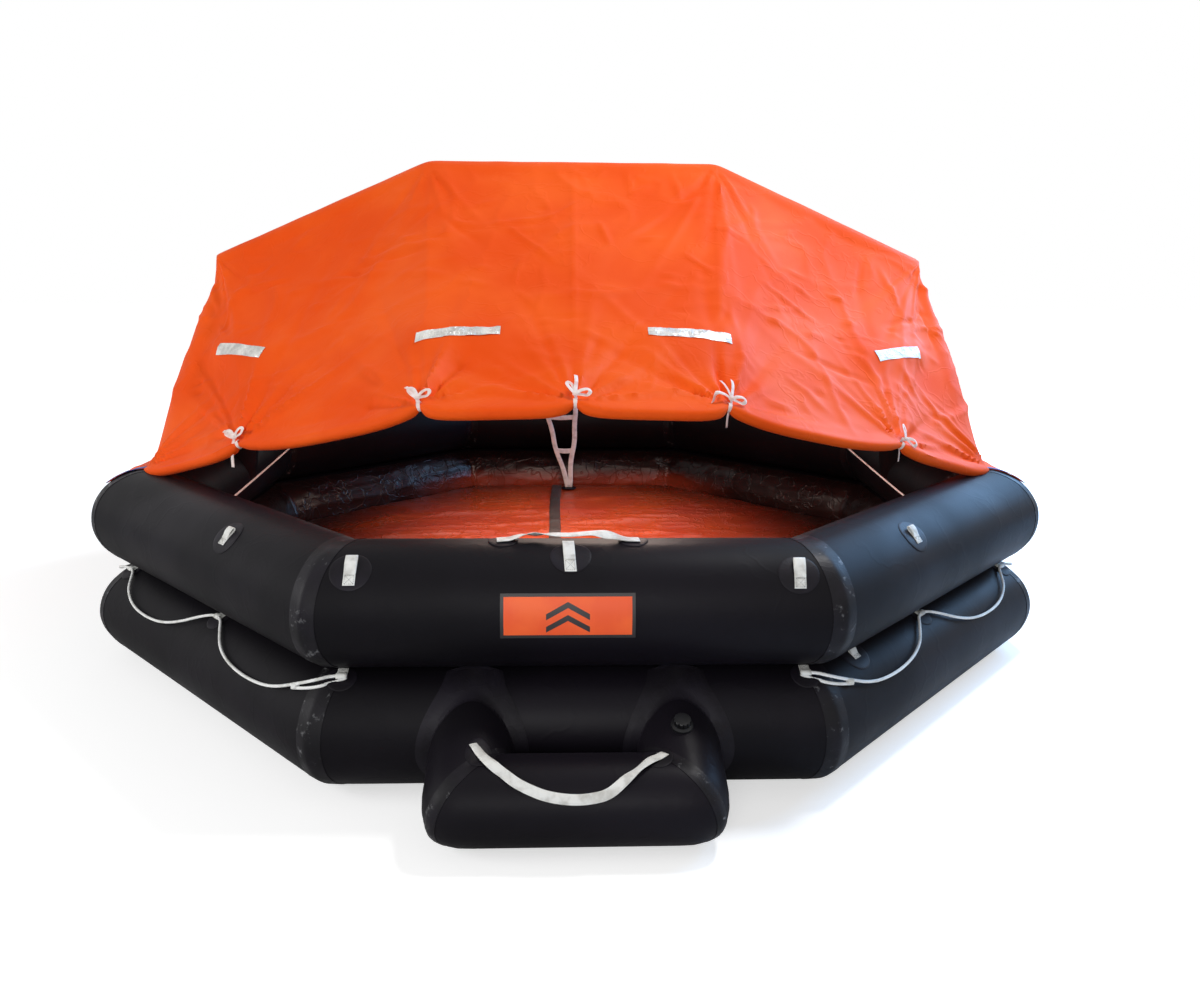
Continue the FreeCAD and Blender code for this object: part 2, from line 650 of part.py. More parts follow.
webbing = size["webbing"]
handle = new_body("entrance_handle")
handle_line = new_sketch(handle, "side_view", "XZ_Plane")
LEFT, RIGHT, FOOT, RUN = (-1, "handle_left"), (1, "handle_right"), "handle_foot", "handle_run"
RISE, THICK = (1, "handle_rise"), (1, "webbing")
handle_x = [[LEFT], [LEFT, (1, FOOT)], [LEFT, (1, FOOT), (1, RUN)],
            [RIGHT, (-1, FOOT), (-1, RUN)], [RIGHT, (-1, FOOT)], [RIGHT]]
under = [None, None, [RISE], [RISE], None, None]
above = [[THICK], [THICK], [RISE, THICK], [RISE, THICK], [THICK], [THICK]]
draw_lines(handle_line, list(zip(handle_x, under)) + list(zip(handle_x, above))[::-1], closed=True)
handle_pad = handle.newObject("PartDesign::Pad", "strap")
handle_pad.Profile = handle_line
handle_pad.setExpression("Length", "dimensions.handle_wide")
handle_pad.SideType = "Symmetric"
handle.Tip = handle_pad
doc.recompute()
handle.Placement = Placement(Vector(0, -size["apothem"], UPPER + over), Rotation())
keep(handle)
handle_ends = size["handle_foot"] / 2 - size["handle_left"], size["handle_right"] - size["handle_foot"] / 2
feature("entrance_handle_patches", group([disc(0, spot, 90, 45, skin, over, UPPER) for spot in handle_ends]))

# the ramp's strap lies on the cross tube and droops over its brow between its two ends; each point
# is its place along the tube and how far up the slope of the brow it lies
RAMP_STRAP = [(-284, 106), (-236, 78), (-150, 9), (-18, -30), (88, -14), (196, 68), (244, 96)]
BROW = 45
ramp_middle = Placement(ramp_front, Rotation())
ramp_skin = size["ramp_radius"]


def ramp_layer(inner, outer):
    """A layer over the ramp's cross tube and the starts of its legs, before it is moved there."""
    half, run = size["ramp_half"], Rotation(AXIS_X, size["ramp_slope"]).multVec(AXIS_Y)
    solids = []
    for radius in (outer, inner):
        cross = Part.makeCylinder(radius, 2 * half, Vector(-half, 0, 0), AXIS_X)
        legs = [Part.makeCylinder(radius, ramp_skin, Vector(spot, 0, 0), run) for spot in (-half, half)]
        solids.append(cross.fuse(legs))
    return solids[0].cut(solids[1])


def ramp_strap():
    """A flat strap pressed onto the tube, with its middle line through the points above."""
    half_wide = size["strap_wide"] / 2
    sides = offset_line(RAMP_STRAP, half_wide), offset_line(RAMP_STRAP, -half_wide)
    rim = [Vector(x, y, 0) for x, y in sides[0]] + [Vector(x, y, 0) for x, y in reversed(sides[1])]
    cutter = Part.Face(Part.makePolygon(rim + rim[:1])).extrude(AXIS_Z * 2 * ramp_skin)
    cutter = cutter.transformed(Placement(ORIGIN, Rotation(AXIS_X, 90 - BROW)).toMatrix())
    low = ramp_skin + size["rubber"]
    return ramp_layer(low, low + webbing).common(cutter).transformed(ramp_middle.toMatrix())


def ramp_patch(x, angle):
    """A round patch on the ramp's tubes."""
    radius = 42
    plug = Part.makeCylinder(radius, 2 * ramp_skin, ORIGIN, AXIS_Z)
    plug.Placement = Placement(Vector(x, 0, 0), Rotation(AXIS_X, 90 - angle))
    layer = ramp_layer(ramp_skin, ramp_skin + size["rubber"])
    return layer.common(plug).transformed(ramp_middle.toMatrix())


feature("ramp_handle", ramp_strap())
feature("ramp_handle_patches", group([ramp_patch(-262, 96), ramp_patch(222, 90)]))

# ---------------------------------------------------------------- rear boarding ladder

LADDER_FOOT = Vector(-12, 1360, pad_top + size["rubber"])
LADDER_SPOTS = (-150, 30)
LEAVE_ANGLE = 161
STRAP_WIDE = 30


def boarding_ladder():
    """Two straps from the floor, over the rear of the upper tube and down outside, with rungs."""
    reach = skin + webbing
    turn = math.radians(LEAVE_ANGLE)
    top = Vector(0, size["apothem"] + reach * math.cos(turn), UPPER + reach * math.sin(turn))
    pieces, inside = [], []
    for x in LADDER_SPOTS:
        tip = Vector(x, top.y, top.z)
        inside.append(tip)
        start = Vector(LADDER_FOOT.x + (8 if x > LADDER_FOOT.x else -8), LADDER_FOOT.y, LADDER_FOOT.z)
        pieces.append(bar(start, tip, AXIS_X, STRAP_WIDE, webbing))
        pieces.append(wrap(4, -x, 0, LEAVE_ANGLE, STRAP_WIDE, skin, reach, UPPER))
        hang = Vector(x - STRAP_WIDE / 2, size["apothem"] + skin, 40)
        pieces.append(Part.makeBox(STRAP_WIDE, webbing, UPPER - 40, hang))
    foot = LADDER_FOOT
    for share in (0.5, 0.96):
        ends = [foot + (tip - foot) * share for tip in inside]
        pieces.append(bar(ends[0], ends[1], AXIS_Z, STRAP_WIDE, webbing))
    for height in (40, 190, 340, 480):
        left, right = LADDER_SPOTS
        rung = Vector(left, size["apothem"] + skin, height)
        pieces.append(Part.makeBox(right - left, webbing, STRAP_WIDE, rung))
    floor = Part.makeCylinder(60, 40, LADDER_FOOT - AXIS_Z * 40)
    return cut_clear(fused(pieces), [floor])


feature("boarding_ladder", boarding_ladder())
ladder_patch = doc.addObject("Part::Cylinder", "ladder_patch")
ladder_patch.Label = "ladder_patch"
ladder_patch.Radius = 46
ladder_patch.setExpression("Height", "dimensions.rubber")
ladder_patch.Placement = Placement(LADDER_FOOT - AXIS_Z * size["rubber"], Rotation())
keep(ladder_patch)

# ---------------------------------------------------------------- ropes

# The grab line from the front becket to the middle of side 2, each point as side, place along it,
# angle round the lower tube and distance from its centre line; the rear half is its mirror image.
GRAB_LINE = [
    (0, 674, 64, 201), (0, 716, 64, 202), (0, 750, 59, 210), (1, -672, 48, 206), (1, -560, 34, 204),
    (1, -430, 30, 204), (1, -300, 32, 204), (1, -200, 40, 204), (1, -130, 54, 203), (1, -76, 64, 201),
    (1, -24, 64, 201), (1, 30, 55, 203), (1, 115, 41, 204), (1, 220, 32, 204), (1, 350, 29, 204),
    (1, 475, 32, 204), (1, 570, 43, 204), (1, 625, 57, 203), (1, 664, 64, 201), (1, 716, 64, 202),
    (1, 752, 59, 210), (2, -672, 48, 206), (2, -570, 38, 204), (2, -450, 32, 204), (2, -320, 30, 204),
    (2, -200, 35, 204), (2, -125, 47, 203), (2, -76, 59, 202), (2, -26, 64, 201)]
grab_line = GRAB_LINE + [(4 - side, -along, angle, reach) for side, along, angle, reach in GRAB_LINE[::-1]]
for hand, sign in (("right", 1), ("left", -1)):
    places = [ring_point(side, along, angle, reach, LOWER) for side, along, angle, reach in grab_line]
    corded(f"grab_line_{hand}", [Vector(sign * p.x, p.y, p.z) for p in places], size["rope"])

LIFELINE_ENDS = [(1, 339, 149), (3, -410, 134)]
lifeline_patches = []
for hand, sign in (("right", 1), ("left", -1)):
    ends = [ring_point(side, along, angle, over + size["lifeline"] / 2, UPPER)
            for side, along, angle in LIFELINE_ENDS]
    ends = [Vector(sign * p.x, p.y, p.z) for p in ends]
    droop = (ends[0] + ends[1]) / 2 - AXIS_Z * 14
    corded(f"lifeline_{hand}", [ends[0], droop, ends[1]], size["lifeline"])
    lifeline_patches += [disc(side if sign > 0 else -side % SIDES, sign * along, angle, 40, skin, over, UPPER)
                         for side, along, angle in LIFELINE_ENDS]
feature("lifeline_patches", group(lifeline_patches))

# ---------------------------------------------------------------- gas cylinder and inlets

BOTTLE_START = 90
nest = math.sqrt((skin + size["bottle_radius"]) ** 2 - size["tube_flat"] ** 2)
nest_mid = (LOWER + UPPER) / 2
bottle_frame = Placement(Vector(size["apothem"] + nest, BOTTLE_START, nest_mid), Rotation(AXIS_X, -90))


def revolved(label, outline):
    """A body turned about its own Z from a closed outline of (radius, height) terms."""
    made = new_body(label)
    profile = new_sketch(made, "half_section", "XZ_Plane")
    draw_lines(profile, outline, closed=True)
    turn = made.newObject("PartDesign::Revolution", "turned")
    turn.Profile = profile
    turn.ReferenceAxis = (profile, ["V_Axis"])
    turn.Angle = 360
    made.Tip = turn
    doc.recompute()
    return made


BULGE = 0.6
dome = [(math.cos(math.radians(angle)), BULGE * math.sin(math.radians(angle))) for angle in (0, 25, 50, 72)]
bottle_outline = [(None, [(-1, "neck_long")]), ([(1, "neck_radius")], [(-1, "neck_long")]),
                  ([(1, "neck_radius")], [(-BULGE, "bottle_radius")])]
bottle_outline += [([(out, "bottle_radius")], [(-up, "bottle_radius")]) for out, up in dome[:0:-1]]
bottle_outline += [([(1, "bottle_radius")], None), ([(1, "bottle_radius")], [(1, "bottle_long")])]
bottle_outline += [([(out, "bottle_radius")], [(1, "bottle_long"), (up, "bottle_radius")])
                   for out, up in dome[1:]]
bottle_outline += [(None, [(1, "bottle_long"), (BULGE, "bottle_radius")])]
bottle = revolved("gas_cylinder", bottle_outline)
bottle.Placement = bottle_frame
keep(bottle)

head = new_body("operating_head")
head_face = new_sketch(head, "block", "XY_Plane")
less, more = [(-1, "head_half")], [(1, "head_half")]
draw_lines(head_face, [(less, less), (more, less), (more, more), (less, more)], closed=True)
head_pad = head.newObject("PartDesign::Pad", "block_pad")
head_pad.Profile = head_face
head_pad.setExpression("Length", "dimensions.head_high")
outlet_face = new_sketch(head, "outlets", "YZ_Plane")
draw_circle(outlet_face, None, [(0.5, "head_high")], "outlet_radius")
outlet = head.newObject("PartDesign::Pad", "outlet_pad")
outlet.Profile = outlet_face
outlet.setExpression("Length", "dimensions.outlet_long")
outlet.SideType = "Symmetric"
head.Tip = outlet
doc.recompute()
head.Placement = bottle_frame * Placement(Vector(0, 0, -size["neck_long"] - size["head_high"]), Rotation())
keep(head)

bottle_r, bottle_l = size["bottle_radius"], size["bottle_long"]
bands = []
for along in (BOTTLE_START + 110, BOTTLE_START + bottle_l - 110):
    start = Vector(size["apothem"] + nest, along - 25, nest_mid)
    loop = Part.makeCylinder(bottle_r + webbing, 50, start, AXIS_Y)
    loop = loop.cut(Part.makeCylinder(bottle_r, 50, start, AXIS_Y))
    touch = math.degrees(math.atan2(size["tube_flat"], nest))
    flaps = [wrap(2, along, -touch, -8, 50, skin, skin + webbing, UPPER),
             wrap(2, along, 8, touch, 50, skin, skin + webbing, LOWER)]
    loop = loop.cut([upper_tube.Shape, lower_tube.Shape])
    bands.append(loop.fuse([flap.cut(Part.makeCylinder(bottle_r, 50, start, AXIS_Y)) for flap in flaps]))
feature("cylinder_bands", group(bands))

INLET = [(0, -4), (28, -4), (28, 5), (15, 5), (15, 18), (21, 18), (21, 30), (11, 30), (11, 40), (0, 40)]
inlets = []
for angle, middle, host in ((45, LOWER, lower_tube), (-45, UPPER, upper_tube)):
    edge = [Vector(radius, 0, height) for radius, height in INLET]
    turned_piece = Part.Face(Part.makePolygon(edge + edge[:1])).revolve(ORIGIN, AXIS_Z, 360)
    turned_piece.Placement = outward(2, -550, angle, skin, middle)
    inlets.append(turned_piece.cut(host.Shape))
feature("inflation_inlets", group(inlets))

# ---------------------------------------------------------------- topping-up valves

FLANGE_EDGE, NECK, BORE = [(1, "valve_radius")], [(1, "valve_neck")], [(1, "valve_bore")]
CAP_EDGE, CAP_BORE = [(1, "cap_radius")], [(1, "valve_neck"), (1, "cap_gap")]
ROOT, FLANGE, SHOULDER = [(-1, "valve_root")], [(1, "valve_flange")], [(1, "valve_shoulder")]
NECK_TOP, CAP_FOOT = [(1, "valve_top")], [(1, "valve_shoulder"), (1, "cap_gap")]
CAP_TOP, CAP_ROUND = [(1, "cap_top")], (-1, "cap_round")
VALVE = [(None, ROOT), (FLANGE_EDGE, ROOT), (FLANGE_EDGE, FLANGE), (CAP_EDGE, SHOULDER), (NECK, SHOULDER),
         (NECK, NECK_TOP), (BORE, NECK_TOP), (BORE, FLANGE), (None, FLANGE)]
CAP = [(None, NECK_TOP), (CAP_BORE, NECK_TOP), (CAP_BORE, CAP_FOOT), (CAP_EDGE, CAP_FOOT),
       (CAP_EDGE, CAP_TOP + [CAP_ROUND]), (CAP_EDGE + [CAP_ROUND], CAP_TOP), (None, CAP_TOP)]
leg_frame = ramp_frame * Placement(Vector(size["ramp_half"], 150, size["ramp_radius"]), Rotation())
VALVES = {
    "lower_tube": (outward(3, 380, 8, skin, LOWER), lower_tube),
    "upper_tube": (outward(5, -380, 25, skin, UPPER), upper_tube),
    "floor": (Placement(Vector(-1050, -620, pad_top), Rotation()), pad),
    "ramp": (leg_frame, ramp),
}
NOTCHES = 12
for name, (frame, host) in VALVES.items():
    blank = revolved(f"{name}_valve_blank", VALVE)
    blank.Placement = frame
    boolean("Cut", f"{name}_valve", blank, host)
    cap = revolved(f"{name}_valve_cap", CAP)
    notch_face = new_sketch(cap, "notch", "XY_Plane")
    draw_circle(notch_face, CAP_EDGE, None, "notch_radius")
    before = cap.Shape.Volume
    notch = cap.newObject("PartDesign::Pocket", "finger_notch")
    notch.Profile = notch_face
    notch.Type = "ThroughAll"
    notch.SideType = "Symmetric"
    doc.recompute()
    pattern = cap.newObject("PartDesign::PolarPattern", "finger_notches")
    pattern.Originals = [notch]
    pattern.Axis = (notch_face, ["N_Axis"])
    pattern.Angle = 360
    pattern.Occurrences = NOTCHES
    cap.Tip = pattern
    doc.recompute()
    if cap.Shape.Volume > before - NOTCHES:
        raise RuntimeError(f"{name}: the cap's notches cut nothing")
    cap.Placement = frame
    keep(cap)

# ---------------------------------------------------------------- checks and files

doc.recompute()
for item in doc.Objects:
    if "Invalid" in item.State or "Error" in item.State:
        raise RuntimeError(f"{item.Label} failed to recompute: {item.State}")
labels = [item.Label for item in nodes]
if len(set(labels)) != len(labels):
    raise RuntimeError("two sub-parts share a name")
for item in nodes:
    if item.Shape.isNull() or not item.Shape.isValid() or not item.Shape.Solids:
        raise RuntimeError(f"{item.Label} has no valid solid")

os.makedirs("parts", exist_ok=True)
total = 0
for item in nodes:
    item.Shape.exportStep(os.path.join("parts", f"{item.Label}.step"))
    total += item.Shape.Volume
print(f"{len(nodes)} sub-parts, {total / 1e9:.3f} cubic metres of solid")
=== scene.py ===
"""Looks of the inflated liferaft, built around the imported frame. Everything is in metres."""

import math
import random

import bpy
import numpy as np
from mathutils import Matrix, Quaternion, Vector, bvhtree


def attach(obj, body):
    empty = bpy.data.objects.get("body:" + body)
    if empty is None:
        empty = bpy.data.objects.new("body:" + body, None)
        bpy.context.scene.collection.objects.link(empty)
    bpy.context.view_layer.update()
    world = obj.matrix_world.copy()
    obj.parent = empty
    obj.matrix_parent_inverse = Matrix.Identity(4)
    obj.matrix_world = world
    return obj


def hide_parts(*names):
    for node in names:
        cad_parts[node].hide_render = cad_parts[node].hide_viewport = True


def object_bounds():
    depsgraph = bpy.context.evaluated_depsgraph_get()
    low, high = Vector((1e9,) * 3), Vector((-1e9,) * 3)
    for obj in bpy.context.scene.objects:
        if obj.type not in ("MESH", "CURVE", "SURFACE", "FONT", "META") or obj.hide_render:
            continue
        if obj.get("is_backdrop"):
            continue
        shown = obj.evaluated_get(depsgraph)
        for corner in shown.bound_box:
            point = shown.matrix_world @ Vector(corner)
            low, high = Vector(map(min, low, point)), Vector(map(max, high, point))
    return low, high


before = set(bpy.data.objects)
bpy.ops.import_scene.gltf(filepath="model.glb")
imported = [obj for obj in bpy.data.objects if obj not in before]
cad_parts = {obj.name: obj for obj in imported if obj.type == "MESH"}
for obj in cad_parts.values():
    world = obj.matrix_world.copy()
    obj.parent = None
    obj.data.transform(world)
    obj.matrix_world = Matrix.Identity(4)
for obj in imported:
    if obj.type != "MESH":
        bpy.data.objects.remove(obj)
cad_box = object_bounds()

# ---------------------------------------------------------------- sizes, as in the part's source

SIDES = 8                                   # sides of the raft, 0 in front, counted from above to the left
STEP = 2 * math.pi / SIDES
TAN = math.tan(STEP / 2)
APOTHEM = 1.690                             # from the raft's middle to a buoyancy tube's middle line
SKIN, FLAT = 0.190, 0.188                   # a tube's radius, and half its height where it is pressed flat
LOWER, UPPER = 0.190, 0.566                 # heights of the two tubes' middle lines
CREST = UPPER + SKIN
PAD_TOP = 0.188                             # top of the inflated floor
ARCH = [(1.601, 0.566), (1.488, 1.515), (0.617, 1.895), (-0.617, 1.895), (-1.488, 1.515), (-1.601, 0.566)]
ARCH_RADIUS = 0.110
RAMP_RADIUS, RAMP_SLOPE = 0.122, math.radians(19)
RAMP_OUT, RAMP_HALF, RAMP_LEG = 2.040, 0.300, 0.330
RIDGE_HALF, RIDGE_TOP = 0.058, 1.991        # the flat back of the canopy: half its width, and its height
ROLL = 0.022                                # radius of a rolled door curtain
RAFT = "raft"


# ---------------------------------------------------------------- shared helpers

def deselect():
    bpy.ops.object.select_all(action="DESELECT")


def activate(piece):
    """Leaves one piece selected and active."""
    deselect()
    piece.select_set(True)
    bpy.context.view_layer.objects.active = piece


def modify(piece, kind, **values):
    """Adds a modifier, sets it and applies it."""
    activate(piece)
    added = piece.modifiers.new(kind.title(), kind)
    for name, value in values.items():
        setattr(added, name, value)
    bpy.ops.object.modifier_apply(modifier=added.name)


def mesh_piece(name, points, faces, uvs=None):
    """A piece from points and faces; uvs gives a pair for each point."""
    mesh = bpy.data.meshes.new(name)
    mesh.from_pydata([tuple(p) for p in points], [], faces)
    if uvs is not None:
        layer = mesh.uv_layers.new(name="UVMap")
        loops = np.array([tuple(uvs[loop.vertex_index]) for loop in mesh.loops], np.float32)
        layer.data.foreach_set("uv", loops.ravel())
    mesh.update()
    piece = bpy.data.objects.new(name, mesh)
    bpy.context.scene.collection.objects.link(piece)
    return piece


def grid_faces(rows, columns, close_rows=False, close_columns=False):
    """Quads of a grid whose points are numbered row by row."""
    faces = []
    for row in range(rows if close_rows else rows - 1):
        after = (row + 1) % rows
        for column in range(columns if close_columns else columns - 1):
            following = (column + 1) % columns
            faces.append((row * columns + column, row * columns + following,
                          after * columns + following, after * columns + column))
    return faces


def smooth(piece, angle=60):
    activate(piece)
    bpy.ops.object.shade_smooth_by_angle(angle=math.radians(angle))


def recalculate(piece):
    """Merges doubles and turns the faces outwards."""
    activate(piece)
    bpy.ops.object.mode_set(mode="EDIT")
    bpy.ops.mesh.select_all(action="SELECT")
    bpy.ops.mesh.remove_doubles(threshold=1e-5)
    bpy.ops.mesh.normals_make_consistent(inside=False)
    bpy.ops.object.mode_set(mode="OBJECT")


def join(name, pieces):
    activate(pieces[0])
    for piece in pieces:
        piece.select_set(True)
    bpy.ops.object.join()
    joined = bpy.context.view_layer.objects.active
    joined.name = name
    return joined


def finish_piece(piece, material, replaced=(), body=RAFT):
    """Gives a piece its material and body, and hides the nodes that it replaces."""
    piece.data.materials.clear()
    piece.data.materials.append(material)
    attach(piece, body)
    if replaced:
        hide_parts(*replaced)
    return piece


def turned(side, point):
    """A point by side 0, turned to another side of the ring."""
    angle = STEP * side
    x, y, z = point
    return Vector((x * math.cos(angle) - y * math.sin(angle), x * math.sin(angle) + y * math.cos(angle), z))


def ring_point(side, along, angle, reach, middle):
    """A place by the ring: side, distance along it, angle round the tube in degrees, reach from its centre.

    The angle is 0 outwards and 90 on top.
    """
    turn = math.radians(angle)
    return turned(side, (along, -APOTHEM - reach * math.cos(turn), middle + reach * math.sin(turn)))


# ---------------------------------------------------------------- materials

def ink(red, green, blue):
    """A screen colour of 0 to 255 as the linear colour that the shaders take."""
    return tuple(((part / 255 + 0.055) / 1.055) ** 2.4 if part > 10 else part / 255 / 12.92
                 for part in (red, green, blue)) + (1.0,)


def new_group(name, inputs, outputs):
    group = bpy.data.node_groups.new(name, "ShaderNodeTree")
    for socket, kind, value in inputs:
        made = group.interface.new_socket(name=socket, in_out="INPUT", socket_type=kind)
        if value is not None:
            made.default_value = value
    for socket, kind in outputs:
        group.interface.new_socket(name=socket, in_out="OUTPUT", socket_type=kind)
    return group, group.nodes.new("NodeGroupInput"), group.nodes.new("NodeGroupOutput")


def wired(tree, kind, links=(), **values):
    """Adds a node, sets its properties and input values, and links its inputs."""
    node = tree.nodes.new(kind)
    for name, value in values.items():
        if hasattr(node, name):
            setattr(node, name, value)
        else:
            node.inputs[name.replace("_", " ")].default_value = value
    for socket, source in links:
        tree.links.new(source, node.inputs[socket])
    return node


def cloth_grain_group():
    """Fine crossing threads with a slow unevenness: height, and a mask of lighter patches."""
    group, into, out = new_group(
        "cloth_grain",
        [("Vector", "NodeSocketVector", None), ("Threads", "NodeSocketFloat", 600.0),
         ("Patch Size", "NodeSocketFloat", 3.0)],
        [("Height", "NodeSocketFloat"), ("Patches", "NodeSocketFloat")])
    fine = wired(group, "ShaderNodeTexNoise",
                 [("Vector", into.outputs["Vector"]), ("Scale", into.outputs["Threads"])], Detail=2.0)
    slow = wired(group, "ShaderNodeTexNoise",
                 [("Vector", into.outputs["Vector"]), ("Scale", into.outputs["Patch Size"])], Detail=5.0)
    group.links.new(fine.outputs["Fac"], out.inputs["Height"])
    group.links.new(slow.outputs["Fac"], out.inputs["Patches"])
    return group


def crease_group():
    """Creases left by folding: thin raised lines between flat cells."""
    group, into, out = new_group(
        "fold_creases",
        [("Vector", "NodeSocketVector", None), ("Scale", "NodeSocketFloat", 6.0),
         ("Width", "NodeSocketFloat", 0.05)],
        [("Height", "NodeSocketFloat")])
    bend = wired(group, "ShaderNodeTexNoise", [("Vector", into.outputs["Vector"])], Scale=4.0, Detail=3.0)
    shift = wired(group, "ShaderNodeVectorMath",
                  [(0, into.outputs["Vector"]), (1, bend.outputs["Color"])], operation="ADD")
    cells = wired(group, "ShaderNodeTexVoronoi",
                  [("Vector", shift.outputs["Vector"]), ("Scale", into.outputs["Scale"])],
                  feature="DISTANCE_TO_EDGE")
    line = wired(group, "ShaderNodeMapRange",
                 [("Value", cells.outputs["Distance"]), ("From Max", into.outputs["Width"])])
    line.interpolation_type = "SMOOTHSTEP"
    line.inputs["To Min"].default_value = 1.0
    line.inputs["To Max"].default_value = 0.0
    group.links.new(line.outputs["Result"], out.inputs["Height"])
    return group


def weave_group():
    """A plain weave on a strap's own map, whose units are metres."""
    group, into, out = new_group(
        "strap_weave",
        [("Vector", "NodeSocketVector", None), ("Pitch", "NodeSocketFloat", 0.0025)],
        [("Height", "NodeSocketFloat")])
    parts = wired(group, "ShaderNodeSeparateXYZ", [("Vector", into.outputs["Vector"])])
    waves = []
    for axis in ("X", "Y"):
        cycle = wired(group, "ShaderNodeMath", [(0, parts.outputs[axis]), (1, into.outputs["Pitch"])],
                      operation="DIVIDE")
        turn = wired(group, "ShaderNodeMath", [(0, cycle.outputs[0])], operation="MULTIPLY")
        turn.inputs[1].default_value = 2 * math.pi
        wave = wired(group, "ShaderNodeMath", [(0, turn.outputs[0])], operation="SINE")
        waves.append(wave)
    both = wired(group, "ShaderNodeMath", [(0, waves[0].outputs[0]), (1, waves[1].outputs[0])],
                 operation="MULTIPLY")
    group.links.new(both.outputs[0], out.inputs["Height"])
    return group


CLOTH_GRAIN = cloth_grain_group()
FOLD_CREASES = crease_group()
STRAP_WEAVE = weave_group()


def place_group(tree, group, vector, **values):
    node = tree.nodes.new("ShaderNodeGroup")
    node.node_tree = group
    tree.links.new(vector, node.inputs["Vector"])
    for name, value in values.items():
        node.inputs[name.replace("_", " ")].default_value = value
    return node


def blank_material(name):
    material = bpy.data.materials.new(name)
    material.use_nodes = True
    tree = material.node_tree
    return material, tree, tree.nodes["Principled BSDF"]


def object_place(tree):
    return tree.nodes.new("ShaderNodeTexCoord").outputs["Object"]


def bump_chain(tree, shader, layers):
    """Stacks bumps of (height, strength, distance) and feeds the last normal to the shader."""
    normal = None
    for height, strength, distance in layers:
        links = [("Height", height)]
        if normal:
            links.append(("Normal", normal))
        bump = wired(tree, "ShaderNodeBump", links, Strength=strength, Distance=distance)
        normal = bump.outputs["Normal"]
    tree.links.new(normal, shader.inputs["Normal"])


def blend_colours(tree, factor, first, second):
    """Mixes two colours, each a value or another node's output."""
    mix = wired(tree, "ShaderNodeMix", [(0, factor)], data_type="RGBA")
    for index, colour in ((6, first), (7, second)):
        if isinstance(colour, tuple):
            mix.inputs[index].default_value = colour
        else:
            tree.links.new(colour, mix.inputs[index])
    return mix.outputs[2]


def spread(tree, value, low, high, to_low=0.0, to_high=1.0):
    """Maps a stretch of a value to another, smoothly and clamped."""
    node = wired(tree, "ShaderNodeMapRange", [("Value", value)])
    node.interpolation_type = "SMOOTHSTEP"
    for name, number in (("From Min", low), ("From Max", high), ("To Min", to_low), ("To Max", to_high)):
        node.inputs[name].default_value = number
    return node.outputs["Result"]


def coated_cloth(name, dark, light, rough, grain, crease, crease_size, threads=700.0, patch=2.5,
                 specular=0.3, sheen=0.0):
    """A coated cloth: slow colour change, fine grain and packing creases."""
    material, tree, shader = blank_material(name)
    where = object_place(tree)
    cloth = place_group(tree, CLOTH_GRAIN, where, Threads=threads, Patch_Size=patch)
    folds = place_group(tree, FOLD_CREASES, where, Scale=crease_size, Width=0.06)
    patches = spread(tree, cloth.outputs["Patches"], 0.35, 0.7)
    tree.links.new(blend_colours(tree, patches, dark, light), shader.inputs["Base Color"])
    tree.links.new(spread(tree, cloth.outputs["Patches"], 0.3, 0.7, rough + 0.08, rough - 0.06),
                   shader.inputs["Roughness"])
    shader.inputs["Specular IOR Level"].default_value = specular
    shader.inputs["Sheen Weight"].default_value = sheen
    bump_chain(tree, shader, [(folds.outputs["Height"], 0.5, crease), (cloth.outputs["Height"], 0.35, grain)])
    return material


def tinted(material, mask, colour):
    """Blends a colour over a material's own one, where the mask says so."""
    tree = material.node_tree
    base = tree.nodes["Principled BSDF"].inputs["Base Color"]
    tree.links.new(blend_colours(tree, mask, base.links[0].from_socket, colour), base)


def shaded_rim(material, middle, near, far, shade):
    """Paints shade into a material's colour: darker away from a place."""
    tree = material.node_tree
    gap = wired(tree, "ShaderNodeVectorMath", [(0, object_place(tree))], operation="SUBTRACT")
    gap.inputs[1].default_value = middle
    reach = wired(tree, "ShaderNodeVectorMath", [(0, gap.outputs["Vector"])], operation="LENGTH")
    tinted(material, spread(tree, reach.outputs["Value"], near, far), shade)


def shaded_above(material, low, high, shade):
    """Paints shade into a material's colour: darker above a height."""
    tree = material.node_tree
    place = wired(tree, "ShaderNodeSeparateXYZ", [("Vector", object_place(tree))])
    tinted(material, spread(tree, place.outputs["Z"], low, high), shade)


def scuffed(material, scale, low, high, mark, strength=0.8):
    """Adds pale rubbed streaks to a material's colour."""
    tree = material.node_tree
    noise = wired(tree, "ShaderNodeTexNoise", [("Vector", object_place(tree))], Scale=scale, Detail=6.0,
                  Roughness=0.7)
    tinted(material, spread(tree, noise.outputs[0], low, high, 0.0, strength), mark)


def webbing(name, dark, light, pitch=0.0028, rough=0.75):
    """Woven strap, slightly soiled; pitch is the size of its weave."""
    material, tree, shader = blank_material(name)
    strap = tree.nodes.new("ShaderNodeUVMap").outputs["UV"]
    where = object_place(tree)
    weave = place_group(tree, STRAP_WEAVE, strap, Pitch=pitch)
    soil = place_group(tree, CLOTH_GRAIN, where, Threads=900.0, Patch_Size=28.0)
    mask = spread(tree, soil.outputs["Patches"], 0.4, 0.72)
    tree.links.new(blend_colours(tree, mask, light, dark), shader.inputs["Base Color"])
    shader.inputs["Roughness"].default_value = rough
    shader.inputs["Specular IOR Level"].default_value = 0.25
    bump_chain(tree, shader, [(weave.outputs["Height"], 0.6, 0.0005),
                              (soil.outputs["Height"], 0.3, 0.0003)])
    return material


